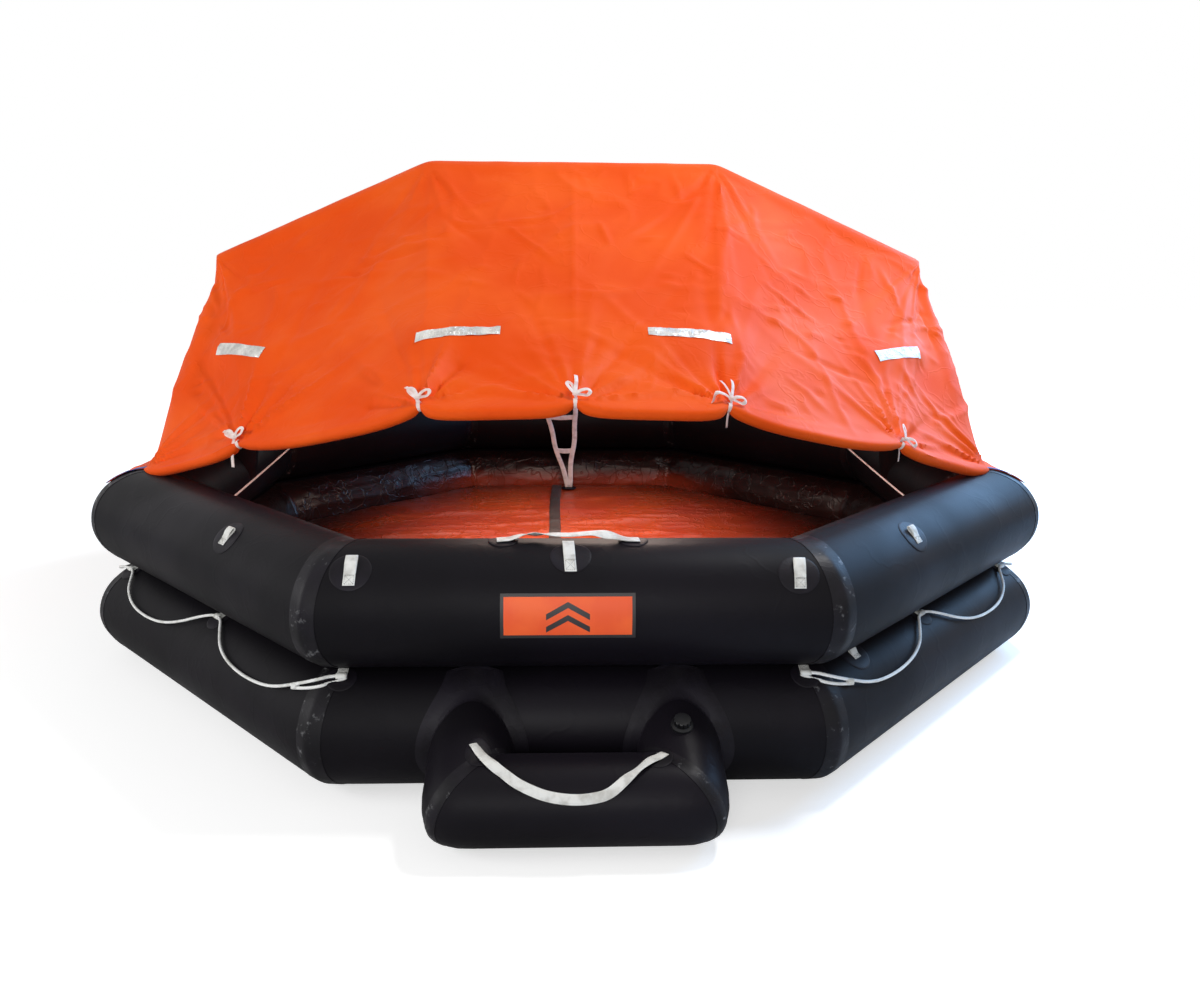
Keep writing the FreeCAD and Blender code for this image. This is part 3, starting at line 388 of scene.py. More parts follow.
canopy_cloth = coated_cloth("canopy_cloth", ink(233, 78, 13), ink(241, 92, 22), 0.58, 0.0003, 0.0012, 2.6,
                            specular=0.09, sheen=0.02)
curtain_cloth = coated_cloth("curtain_cloth", ink(226, 66, 12), ink(242, 80, 20), 0.6, 0.0003, 0.002, 9.0)
tube_rubber = coated_cloth("tube_rubber", ink(11, 9, 13), ink(20, 17, 23), 0.48, 0.0004, 0.0004, 2.2,
                           threads=420.0, patch=1.8, specular=0.09)
patch_rubber = coated_cloth("patch_rubber", ink(15, 12, 17), ink(27, 24, 31), 0.5, 0.0003, 0.0003, 8.0,
                            threads=500.0, patch=9.0, specular=0.13)
seam_rubber = coated_cloth("seam_rubber", ink(12, 10, 14), ink(22, 19, 25), 0.45, 0.0003, 0.0003, 8.0,
                           threads=500.0, patch=14.0, specular=0.16)
floor_cloth = coated_cloth("floor_cloth", ink(214, 74, 30), ink(238, 100, 44), 0.30, 0.0004, 0.005, 5.5,
                           patch=2.6, specular=0.5)
skirt_cloth = coated_cloth("skirt_cloth", ink(134, 52, 32), ink(172, 70, 42), 0.34, 0.0004, 0.003, 6.0,
                           specular=0.3)
grey_tape = coated_cloth("grey_tape", ink(64, 53, 50), ink(96, 84, 78), 0.4, 0.0003, 0.001, 12.0)
blue_tape = coated_cloth("blue_tape", ink(28, 48, 120), ink(52, 80, 160), 0.5, 0.0003, 0.0005, 12.0)
pocket_cloth = coated_cloth("pocket_cloth", ink(214, 62, 14), ink(236, 84, 24), 0.6, 0.0003, 0.002, 9.0)
white_webbing = webbing("white_webbing", ink(196, 194, 188), ink(236, 236, 232))
tie_tape = webbing("tie_tape", ink(240, 196, 186), ink(252, 236, 230), pitch=0.0016)
ladder_webbing = webbing("ladder_webbing", ink(214, 206, 198), ink(240, 234, 228))


def rope_fibre():
    """Bright twisted fibre, a little soiled in the lay of the strands."""
    material, tree, shader = blank_material("rope_fibre")
    where = object_place(tree)
    soil = place_group(tree, CLOTH_GRAIN, where, Threads=1400.0, Patch_Size=22.0)
    mask = spread(tree, soil.outputs["Patches"], 0.45, 0.75)
    colour = blend_colours(tree, mask, ink(238, 238, 236), ink(204, 204, 198))
    tree.links.new(colour, shader.inputs["Base Color"])
    shader.inputs["Roughness"].default_value = 0.7
    shader.inputs["Sheen Weight"].default_value = 0.1
    bump_chain(tree, shader, [(soil.outputs["Height"], 0.6, 0.0006)])
    return material


def reflective_tape():
    """Silver reflective film with fine creases."""
    material, tree, shader = blank_material("reflective_tape")
    where = object_place(tree)
    grain = place_group(tree, CLOTH_GRAIN, where, Threads=260.0, Patch_Size=18.0)
    folds = place_group(tree, FOLD_CREASES, where, Scale=34.0, Width=0.12)
    mask = spread(tree, grain.outputs["Patches"], 0.35, 0.7)
    colour = blend_colours(tree, mask, ink(186, 184, 180), ink(224, 222, 216))
    tree.links.new(colour, shader.inputs["Base Color"])
    tree.links.new(spread(tree, grain.outputs["Height"], 0.3, 0.7, 0.32, 0.5), shader.inputs["Roughness"])
    shader.inputs["Metallic"].default_value = 0.55
    bump_chain(tree, shader, [(folds.outputs["Height"], 0.7, 0.003), (grain.outputs["Height"], 0.3, 0.0006)])
    return material


def plain_finish(name, first, second, rough, metallic=0.0, patch=20.0, bump=0.0003, specular=0.5):
    """A hard finish with slow unevenness in colour and gloss."""
    material, tree, shader = blank_material(name)
    where = object_place(tree)
    grain = place_group(tree, CLOTH_GRAIN, where, Threads=900.0, Patch_Size=patch)
    mask = spread(tree, grain.outputs["Patches"], 0.35, 0.7)
    tree.links.new(blend_colours(tree, mask, first, second), shader.inputs["Base Color"])
    tree.links.new(spread(tree, grain.outputs["Patches"], 0.3, 0.7, rough - 0.05, rough + 0.08),
                   shader.inputs["Roughness"])
    shader.inputs["Metallic"].default_value = metallic
    shader.inputs["Specular IOR Level"].default_value = specular
    bump_chain(tree, shader, [(grain.outputs["Height"], 0.4, bump)])
    return material


white_rope = rope_fibre()
silver_film = reflective_tape()
black_plastic = plain_finish("black_plastic", ink(14, 14, 16), ink(24, 24, 27), 0.42, specular=0.25)
grey_paint = plain_finish("grey_paint", ink(128, 132, 136), ink(148, 152, 155), 0.35, patch=6.0)
brass_metal = plain_finish("brass_metal", ink(178, 146, 84), ink(204, 172, 106), 0.3, metallic=1.0)
bright_metal = plain_finish("bright_metal", ink(196, 196, 200), ink(222, 222, 226), 0.2, metallic=1.0)
stitch_thread = plain_finish("stitch_thread", ink(92, 92, 94), ink(112, 112, 112), 0.7)
# painted shade: the floor darkens towards its rim, where the tubes and the canopy shade it
shaded_rim(floor_cloth, (0.0, 0.35, 0.0), 0.45, 1.45, ink(42, 18, 14))
# painted shade: the skirt darkens away from the rear middle and towards its top, under the upper tube
shaded_rim(skirt_cloth, (0.0, 1.50, 0.2), 0.35, 1.10, ink(36, 17, 15))
shaded_above(skirt_cloth, 0.20, 0.29, ink(26, 14, 14))
scuffed(seam_rubber, 24.0, 0.57, 0.72, ink(128, 128, 130))
scuffed(tube_rubber, 9.0, 0.70, 0.82, ink(70, 70, 72))


# ---------------------------------------------------------------- soft shapes

# numbers that scramble a lattice point into a value that looks random
SEED_SHIFT, LATTICE_MIX, LATTICE_GAIN = 17.31, np.array((12.9898, 78.233, 37.719)), 43758.5453
# how far a seam's waist and its puckers run along a tube, and how long a pucker is round it
PINCH_REACH, PUCKER_REACH, PUCKER_SIZE = 0.03, 0.06, 0.22


def soft_noise(points, size, seed):
    """Smooth noise from -1 to 1 at each point, from a seeded lattice of the given size."""
    spots = np.asarray(points, float) / size + seed * SEED_SHIFT
    cell = np.floor(spots)
    part = spots - cell
    part = part * part * (3 - 2 * part)
    total = 0
    for corner in ((i, j, k) for i in (0, 1) for j in (0, 1) for k in (0, 1)):
        value = np.mod(np.sin((cell + corner) @ LATTICE_MIX) * LATTICE_GAIN, 1.0)
        weight = np.prod(np.where(np.array(corner, bool), part, 1 - part), axis=-1)
        total = total + weight * value
    return 2 * total - 1


def creased(points, size, seed, sharp=10):
    """Thin raised lines of 0 to 1 where the soft noise changes sign."""
    return (1 - np.abs(soft_noise(points, size, seed))) ** sharp


def unit(vectors):
    """Vectors at length 1."""
    return vectors / np.maximum(np.linalg.norm(vectors, axis=-1, keepdims=True), 1e-9)


def grid_normals(grid, close_rows=False, close_columns=False):
    """Normals of a grid of points, of the shape (rows, columns, 3)."""
    def slope(axis, closed):
        if closed:
            return np.roll(grid, -1, axis) - np.roll(grid, 1, axis)
        return np.gradient(grid, axis=axis)
    return unit(np.cross(slope(1, close_columns), slope(0, close_rows)))


def seam_steps(length, edge=(0.0, 0.006, 0.014, 0.024, 0.038, 0.056, 0.08, 0.12), step=0.07):
    """Distances along a tube's length, close together at its two seams."""
    near = [gap for gap in edge if gap < length * 0.45]
    middle = length - 2 * near[-1]
    count = max(1, round(middle / step))
    inner = [near[-1] + middle * index / count for index in range(1, count)]
    return np.array(near + inner + [length - gap for gap in reversed(near)]) / length


def tube_grid(line, normal, radius, closed, columns, seed, pinch=0.014, pucker=0.0016):
    """Rows of points round a gas-filled tube along a mitred line: drawn in and puckered at its seams.

    Column 0 lies on the side that normal crossed with the run points to, and columns turn towards normal.
    """
    line = np.array(line, float)
    normal = np.array(normal, float)
    turns = np.arange(columns) * 2 * math.pi / columns
    spots = len(line)
    runs = [unit(line[(index + 1) % spots] - line[index]) for index in range(spots if closed else spots - 1)]
    rows, gaps = [], []
    for index, run in enumerate(runs):
        start, end = line[index], line[(index + 1) % spots]
        side = np.cross(normal, run)
        arm = radius * (np.cos(turns)[:, None] * side + np.sin(turns)[:, None] * normal)
        length = np.linalg.norm(end - start)

        def mitre(other):
            if other is None:
                return np.zeros(columns)
            plane = unit(run + other)
            return -(arm @ plane) / (run @ plane)
        before = runs[index - 1] if index or closed else None
        after = runs[(index + 1) % len(runs)] if index + 1 < len(runs) or closed else None
        low, high = mitre(before), length + mitre(after)
        shares = seam_steps(length)
        last = index + 1 == len(runs) and not closed
        for share in shares if last else shares[:-1]:
            along = low + (high - low) * share
            gap = min(share if before is not None else 1, 1 - share if after is not None else 1) * length
            seam = index if share < 0.5 else index + 1
            round_seam = np.column_stack((np.cos(turns), np.sin(turns), turns * 0 + seam))
            wrinkle = soft_noise(round_seam, PUCKER_SIZE, seed)
            squeeze = (1 - pinch * math.exp(-(gap / PINCH_REACH) ** 2)
                       + pucker / radius * wrinkle * math.exp(-gap / PUCKER_REACH))
            rows.append(start + arm * squeeze[:, None] + along[:, None] * run)
            gaps.append(gap)
    grid = np.array(rows)
    for _ in range(2):
        if closed:
            grid = (np.roll(grid, 1, 0) + 2 * grid + np.roll(grid, -1, 0)) / 4
        else:
            grid[1:-1] = (grid[:-2] + 2 * grid[1:-1] + grid[2:]) / 4
    return grid, np.array(gaps)


def tube_piece(name, grid, closed):
    """A closed skin from rows of points round a tube, with its ends filled unless it is a ring."""
    rows, columns = grid.shape[:2]
    points = list(grid.reshape(-1, 3))
    faces = grid_faces(rows, columns, close_rows=closed, close_columns=True)
    if not closed:
        for row in (0, rows - 1):
            faces.append(tuple(row * columns + column for column in range(columns)))
    piece = mesh_piece(name, points, faces)
    recalculate(piece)
    smooth(piece)
    return piece


def seam_bands(name, grid, gaps, reach, closed, thick=0.0014):
    """Tapes that cover a tube's seams, following its puckered surface."""
    normals = grid_normals(grid, closed, True)
    centre = grid.mean(axis=1, keepdims=True)
    facing = np.sign(np.sum(normals * (grid - centre), axis=-1, keepdims=True))
    lifted = grid + normals * facing * thick
    rows, columns = grid.shape[:2]
    inside = gaps <= reach
    faces = [face for index, face in enumerate(grid_faces(rows, columns, closed, True))
             if inside[index // columns] and inside[(index // columns + 1) % rows]]
    piece = mesh_piece(name, lifted.reshape(-1, 3), faces)
    activate(piece)
    bpy.ops.object.mode_set(mode="EDIT")
    bpy.ops.mesh.select_all(action="SELECT")
    bpy.ops.mesh.delete_loose()
    bpy.ops.object.mode_set(mode="OBJECT")
    recalculate(piece)
    modify(piece, "SOLIDIFY", thickness=thick * 1.5, offset=-1)
    smooth(piece)
    return piece


def cloth_piece(name, grid, thick, close_rows=False):
    """A sheet of cloth from a grid of points, with its thickness inwards of the outer face."""
    rows, columns = grid.shape[:2]
    piece = mesh_piece(name, grid.reshape(-1, 3), grid_faces(rows, columns, close_rows=close_rows))
    recalculate(piece)
    modify(piece, "SOLIDIFY", thickness=thick, offset=-1, use_even_offset=False)
    smooth(piece)
    return piece


def surface_area(grid):
    """The area of a grid of points."""
    across, down = grid[:-1, 1:] - grid[:-1, :-1], grid[1:, :-1] - grid[:-1, :-1]
    return float(np.linalg.norm(np.cross(across, down), axis=-1).sum())


# ---------------------------------------------------------------- buoyancy tubes

def ring_line(middle):
    """The corners of a buoyancy tube's middle line."""
    half = APOTHEM * TAN
    return [tuple(turned(side, (-half, -APOTHEM, middle))) for side in range(SIDES)]


def buoyancy_tube(name, middle, seed):
    """One of the two stacked rings, pressed flat where they touch, with tapes over its seams."""
    grid, gaps = tube_grid(ring_line(middle), (0, 0, 1), SKIN, True, 72, seed)
    grid[..., 2] = np.clip(grid[..., 2], middle - FLAT, middle + FLAT)
    finish_piece(tube_piece(name, grid, True), tube_rubber, [name.replace("gas_", "")])
    tapes = seam_bands(f"{name}_seam_tapes", grid, gaps, 0.040, True)
    finish_piece(tapes, seam_rubber)


buoyancy_tube("gas_lower_buoyancy_tube", LOWER, 1)
buoyancy_tube("gas_upper_buoyancy_tube", UPPER, 2)


# ---------------------------------------------------------------- floor

def octagon_reach(x, y):
    """How far out a place lies, 1 on the inside of the ring's wall."""
    turns = np.arange(SIDES) * STEP
    return np.max(np.stack([x * math.cos(turn) + y * math.sin(turn) for turn in turns]), axis=0)


def long_ripples(x, y):
    """Wrinkles of the floor's cover, long from side to side."""
    places = np.stack([x * 0.22, y, x * 0], axis=-1)
    return places, 0.008 * creased(places, 0.16, 3, 4)


def floor_cushion():
    """The inflated floor: a plump octagon whose cover lies in long glossy wrinkles."""
    wall = APOTHEM - SKIN - 0.008
    rings, spokes = 90, 320
    turns = np.arange(spokes) * 2 * math.pi / spokes
    rim = wall / octagon_reach(np.cos(turns), np.sin(turns))
    # shares of the way out, closing up at the rounded edge, then down the side
    brow, brow_drop = 0.955, 0.05
    bends = np.linspace(0, math.pi / 2, 9)[1:]
    shares = np.concatenate([np.linspace(0.02, brow, rings), brow + 0.045 * np.sin(bends)])
    drop = np.concatenate([np.zeros(rings), brow_drop * (1 - np.cos(bends))])
    x = shares[:, None] * rim * np.cos(turns)
    y = shares[:, None] * rim * np.sin(turns)
    z = PAD_TOP - drop[:, None] + x * 0
    places, ripple = long_ripples(x, y)
    fine = np.stack([x * 0.35, y, x * 0], axis=-1)
    ripple = ripple + 0.006 * creased(fine, 0.07, 4, 5)
    ripple += 0.004 * soft_noise(places, 0.35, 5) - 0.009
    fade = np.clip((1 - shares) / 0.06, 0, 1)[:, None]
    z = z + ripple * fade
    top = np.stack([x, y, z], axis=-1)
    foot, foot_height = top[-1:].copy(), 0.004
    foot[..., 2] = foot_height
    grid = np.concatenate([top, foot])
    rows = len(grid)
    points = list(grid.reshape(-1, 3)) + [(0, 0, PAD_TOP - 0.002), (0, 0, foot_height)]
    faces = grid_faces(rows, spokes, close_columns=True)
    for column in range(spokes):
        following = (column + 1) % spokes
        faces.append((len(points) - 2, following, column))
        faces.append((len(points) - 1, (rows - 1) * spokes + column, (rows - 1) * spokes + following))
    piece = mesh_piece("floor_cushion", points, faces)
    recalculate(piece)
    smooth(piece)
    finish_piece(piece, floor_cloth, ["inflatable_floor"])


floor_cushion()


def floor_skirt_cloth():
    """The glossy cloth that hangs from between the tubes down to the floor."""
    reach, girth = SKIN + 0.004, 0.245
    rows = []
    for side in range(SIDES):
        for along in np.linspace(-1, 1, 57)[:-1]:
            row = []
            for angle in np.linspace(114, 186, 19):
                limit = (APOTHEM + reach * math.cos(math.radians(angle))) * TAN
                row.append(ring_point(side, along * limit, angle, reach, LOWER))
            rows.append(row)
    grid = np.array(rows)
    stretched = grid * (1, 1, 3)
    outward = grid_normals(grid, True, False)
    inward = np.sign(np.sum(outward * grid * (-1, -1, 0), axis=-1, keepdims=True))
    lift = 0.007 * creased(stretched, 0.16, 7, 4) + 0.004 * creased(stretched, 0.07, 8, 5)
    grid = grid + outward * inward * lift[..., None]
    piece = cloth_piece("floor_skirt_cloth", grid, 0.0015, close_rows=True)
    finish_piece(piece, skirt_cloth, ["floor_skirt"])
    round(surface_area(grid) / girth, 2)


floor_skirt_cloth()


# ---------------------------------------------------------------- straps

def lengths_along(line):
    """The distance of each point from a line's beginning."""
    return np.concatenate([[0], np.cumsum(np.linalg.norm(np.diff(line, axis=0), axis=-1))])


def strip_grid(centres, sides, width, across=5, crown=0.0):
    """A strap's points: its middle line, the directions of its width, and a slight crown."""
    centres, sides = np.array(centres, float), unit(np.array(sides, float))
    shares = np.linspace(-0.5, 0.5, across)
    grid = centres[:, None, :] + sides[:, None, :] * (shares * width)[None, :, None]
    if crown:
        grid = grid + grid_normals(grid) * (crown * (1 - (2 * shares) ** 2))[None, :, None]
    return grid


def strip_uvs(grid, width):
    """A map in metres: across the strap, and along it."""
    rows, columns = grid.shape[:2]
    middle = grid[:, columns // 2]
    lengths = lengths_along(middle)
    return [((column / (columns - 1) - 0.5) * width, lengths[row])
            for row in range(rows) for column in range(columns)]


def webbing_piece(name, points, faces, uvs, thick):
    """A strap's surface, given its thickness and soft edges."""
    piece = mesh_piece(name, points, faces, uvs)
    modify(piece, "SOLIDIFY", thickness=thick, offset=0)
    modify(piece, "BEVEL", width=thick * 0.3, segments=1, limit_method="ANGLE", angle_limit=math.radians(50))
    smooth(piece)
    return piece


def strap(name, centres, sides, width, thick, across=5, crown=0.0):
    """A strap along a line of points, whose width lies along sides."""
    grid = strip_grid(centres, sides, width, across, crown)
    rows, columns = grid.shape[:2]
    return webbing_piece(name, grid.reshape(-1, 3), grid_faces(rows, columns), strip_uvs(grid, width), thick)


def rounded_line(points, step=0.006):
    """A smooth line through points, with the ends kept."""
    points = np.array(points, float)
    ends = np.vstack([2 * points[0] - points[1], points, 2 * points[-1] - points[-2]])
    made = []
    for index in range(1, len(ends) - 2):
        a, b, c, d = ends[index - 1:index + 3]
        count = max(2, int(np.linalg.norm(c - b) / step))
        for share in np.arange(count) / count:
            made.append(0.5 * (2 * b + (c - a) * share + (2 * a - 5 * b + 4 * c - d) * share ** 2
                               + (3 * b - a - 3 * c + d) * share ** 3))
    made.append(points[-1])
    return np.array(made)


def floor_tape():
    """The grey tape from door to door, lying in the floor's wrinkles."""
    left, half_length, width = -0.090, 1.44, 0.060
    run = np.linspace(-half_length, half_length, 160)
    centres = np.column_stack([left + 0.004 * np.sin(run * 5), run, run * 0 + PAD_TOP + 0.001])
    centres[:, 2] += long_ripples(centres[:, 0], run)[1] - 0.002
    piece = strap("grey_floor_tape", centres, [(1, 0, 0)] * len(run), width, 0.0015)
    finish_piece(piece, grey_tape, ["floor_tape"])


floor_tape()


# ---------------------------------------------------------------- arch and ramp

arch_line = [(x, 0, z) for x, z in ARCH]
arch_grid = tube_grid(arch_line, (0, -1, 0), ARCH_RADIUS, False, 56, 11, pinch=0.05)[0]
finish_piece(tube_piece("gas_arch_tube", arch_grid, False), tube_rubber, ["arch_tube"])


def ramp_spot(x, y, z=0.0):
    """A place on the ramp's own sloping plane."""
    cosine, sine = math.cos(RAMP_SLOPE), math.sin(RAMP_SLOPE)
    return (x, -RAMP_OUT + y * cosine - z * sine, RAMP_RADIUS + y * sine + z * cosine)


ramp_line = [ramp_spot(-RAMP_HALF, RAMP_LEG), ramp_spot(-RAMP_HALF, 0), ramp_spot(RAMP_HALF, 0),
             ramp_spot(RAMP_HALF, RAMP_LEG)]
ramp_normal = (0, -math.sin(RAMP_SLOPE), math.cos(RAMP_SLOPE))
ramp_grid, ramp_gaps = tube_grid(ramp_line, ramp_normal, RAMP_RADIUS, False, 56, 13, pinch=0.02, pucker=0.002)


def rounded_ends(grid):
    """Draws the outer corners of the ramp in, as gas pulls a mitred corner round."""
    leg_run = np.array((0, math.cos(RAMP_SLOPE), math.sin(RAMP_SLOPE)))
    forward = (grid - np.array(ramp_spot(0, 0))) @ leg_run
    beyond = np.maximum(np.abs(grid[..., 0]) - RAMP_HALF, 0)
    before = np.maximum(-forward, 0)
    ratio = np.hypot(beyond, before) / np.maximum(np.maximum(beyond, before), 1e-6)
    share = np.where(ratio > 1, (1 + 0.3 * (ratio - 1)) / ratio, 1) - 1
    moved = grid.copy()
    moved[..., 0] += np.sign(grid[..., 0]) * beyond * share
    return moved - (before * share)[..., None] * leg_run


ramp_grid = rounded_ends(ramp_grid)
ramp_grid[..., 2] = np.maximum(ramp_grid[..., 2], 0.0005)
finish_piece(tube_piece("gas_boarding_ramp", ramp_grid, False), tube_rubber, ["boarding_ramp"])
ramp_tapes = seam_bands("gas_ramp_seam_tapes", ramp_grid, ramp_gaps, 0.030, False)
finish_piece(ramp_tapes, seam_rubber)


# ---------------------------------------------------------------- canopy

# corners of the arch's middle line that carry the cloth, as (x, z)
CORNERS = {"crown_middle": (0, 1.895), "crown": (0.617, 1.895), "knee": (1.488, 1.515),
           "foot": (1.5784, CREST - 0.005)}
# points of the right front hem, as (x, y, z)
HEM = {
    "middle_tie": (0, -1.420, 1.130), "inner_tie": (0.500, -1.370, 1.110),
    "outer_tie": (1.200, -1.030, 0.920), "corner": (APOTHEM, -APOTHEM * TAN, CREST),
    "foot": (APOTHEM, -RIDGE_HALF, CREST),
}
# how far the hem sags in each panel from the middle out, and how square each sag is
SCALLOPS, SCALLOP_POWERS = (0.040, 0.056, 0.034), (6, 3, 4)
# a right front reflective strip: its middle, and three corners of the panel it lies on
STRIP_CORNERS = {"crown_middle": (0, -RIDGE_HALF, RIDGE_TOP), "crown": (0.637, -RIDGE_HALF, RIDGE_TOP),
                 "knee": (1.571, -RIDGE_HALF, 1.583), "inner": HEM["inner_tie"], "outer": HEM["outer_tie"]}
STRIPS = [((0.410, -1.050, 1.326), ("crown_middle", "crown", "inner")),
          ((1.335, -0.610, 1.229), ("knee", "outer", "inner"))]
RIDGE_OUT = 0.0975                          # from the arch's middle line to the cloth's front edge


def mitre_arms():
    """Corners of the ridge, each with how it moves when the arch's line is offset outwards by 1."""
    def out(first, second):
        run = unit(np.array(second) - np.array(first))
        return np.array((run[1], -run[0]))

    def mitre(first, second):
        return (first + second) / (1 + first @ second)

    crown_mid, crown, knee, foot = (CORNERS[name] for name in ("crown_middle", "crown", "knee", "foot"))
    top, slope, leg = (out(crown, crown_mid), out(knee, crown), out(foot, knee))
    below = 0.04
    under_knee = tuple((1 - below) * np.array(knee) + below * np.array(foot))
    return [(crown_mid, top), (crown, mitre(top, slope)), (knee, mitre(slope, leg)), (under_knee, leg),
            (foot, leg)]


RIDGE_SPOTS = mitre_arms()
HEM_SPOTS = [HEM[name] for name in ("middle_tie", "inner_tie", "outer_tie", "corner", "foot")]
# the top that each panel of cloth hangs from, from the middle out
PANEL_APEX = [(0, -RIDGE_HALF, RIDGE_TOP), (1.5, -RIDGE_HALF, 1.62), (1.5, -RIDGE_HALF, 1.62)]
TIE_PLACES = (-2, -1, 0, 1, 2)
PANEL_DEPTHS = (0.018, 0.026, 0.030, 0.022)  # how far each panel hangs in between its corner lines


def canopy_columns(counts):
    """Places along the canopy from the left foot, -4, to the right foot, 4, with a count for each panel."""
    right = np.concatenate([np.linspace(k, k + 1, n, endpoint=False) for k, n in enumerate(counts)] + [[4.0]])
    return np.concatenate([-right[:0:-1], right])


def ridge_at(place, out, y):
    """A point of the ridge, place counted from the crown's middle, offset outwards from the arch's line."""
    whole = min(int(abs(place)), 3)
    part = abs(place) - whole
    spots = [np.array(base) + arm * out for base, arm in RIDGE_SPOTS[whole:whole + 2]]
    x, z = spots[0] * (1 - part) + spots[1] * part
    return np.array((math.copysign(x, place) if place else 0.0, y, z))


def hem_at(place, front):
    """A point of the hem, which hangs in flat scallops between its ties."""
    whole = min(int(abs(place)), 3)
    part = abs(place) - whole
    first, second = (np.array(spot, float) for spot in HEM_SPOTS[whole:whole + 2])
    spot = first * (1 - part) + second * part
    if whole < 3:
        down = unit((first + second) / 2 - np.array(PANEL_APEX[whole]))
        spot = spot + down * SCALLOPS[whole] * (1 - abs(2 * part - 1) ** SCALLOP_POWERS[whole])
    return spot * (math.copysign(1, place) if place else 1.0, 1 if front else -1, 1)


def star_folds(points, centre, up, across, folds):
    """Folds that spread from a point where the cloth is pulled."""
    gap = points - centre
    far = np.linalg.norm(gap, axis=-1)
    angle = np.arctan2(gap @ across, gap @ up)
    lift = 0
    for lean, width, length, height in folds:
        # a fold keeps about the same width in metres once it is clear of the knot
        spread_out = np.exp(-((angle - lean) / (width * (0.35 + 0.65 * np.exp(-far / 0.25)))) ** 2)
        lift = lift + height * spread_out * np.exp(-(far / length) ** 1.5) * (1 - np.exp(-far / 0.03))
    return lift


def fold_list(rng, count, low, high, lengths, heights):
    """Random folds as (lean, width, length, height), by turns raised and sunken."""
    folds = []
    for index in range(count):
        lean = low + (high - low) * (index + rng.uniform(0.15, 0.85)) / count
        sign = 1 if index % 2 == 0 else -0.8
        folds.append((lean, rng.uniform(0.06, 0.13), rng.uniform(*lengths), sign * rng.uniform(*heights)))
    return folds


def loose_creases(rng, points, count, reach, height):
    """Short straight creases left by packing, scattered over the cloth."""
    flat = points.reshape(-1, 3)
    lift = np.zeros(len(flat))
    for _ in range(count):
        centre = flat[rng.randrange(len(flat))]
        near = flat[rng.randrange(len(flat))]
        run = unit(near - centre)
        gap = flat - centre
        along = gap @ run
        beside = np.linalg.norm(gap - along[:, None] * run, axis=-1)
        long = rng.uniform(*reach)
        wide = rng.uniform(0.009, 0.018)
        size = rng.uniform(*height) * rng.choice((1, 1, -1))
        lift += size * np.exp(-(beside / wide) ** 2) * np.exp(-(along / long) ** 4)
    return lift.reshape(points.shape[:-1])


def pulled_folds(rng, base, front):
    """Folds that fan out from the ties, the arch's corners and the corners of the hem."""
    hand = 1 if front else -1
    lift = 0

    def ridge_spot(place):
        return ridge_at(place, RIDGE_OUT, -RIDGE_HALF * hand)
    for place in TIE_PLACES:
        spot = hem_at(place, front)
        up = unit(ridge_spot(place) - spot)
        across = unit(hem_at(place + 0.1, front) - hem_at(place - 0.1, front))
        across = unit(across - up * (across @ up))
        folds = fold_list(rng, 11, -1.4, 1.4, (0.14, 0.40), (0.014, 0.026))
        folds += fold_list(rng, 4, -0.7, 0.7, (0.5, 0.95), (0.009, 0.015))
        lift = lift + star_folds(base, spot, up, across, folds)
    for place in (-2, -1, 1, 2):
        spot = ridge_spot(place)
        below = unit(hem_at(place, front) - spot)
        across = unit(np.cross(below, (0, -hand, 0.6)))
        folds = fold_list(rng, 6, -0.6, 0.6, (0.35, 0.9), (0.006, 0.012))
        lift = lift + star_folds(base, spot, below, across, folds)
    for side in (-1, 1):
        spot = hem_at(3 * side, front)
        along = unit(hem_at(2 * side, front) - spot)
        upward = unit(ridge_spot(2 * side) - spot)
        upward = unit(upward - along * (upward @ along))
        folds = fold_list(rng, 7, -0.1, 0.9, (0.20, 0.45), (0.010, 0.018))
        lift = lift + star_folds(base, spot, along, upward, folds)
    return lift


def flat_under_strips(lift, base, hand):
    """Takes the folds out of the cloth where the stiff reflective strips hold it."""
    for centre, _ in STRIPS:
        for side in (1, -1):
            spot = (centre[0] * side, centre[1], centre[2])
            gap = base * (np.sign(spot[0]), hand, 1) - np.abs(spot)
            gap[..., 1] += 2 * abs(spot[1])
            across = np.maximum(np.hypot(gap[..., 0], 0.5 * gap[..., 1]) - 0.13, 0)
            lift = lift * (1 - 0.8 * np.exp(-(across / 0.09) ** 2 - (gap[..., 2] / 0.06) ** 2))
    return lift


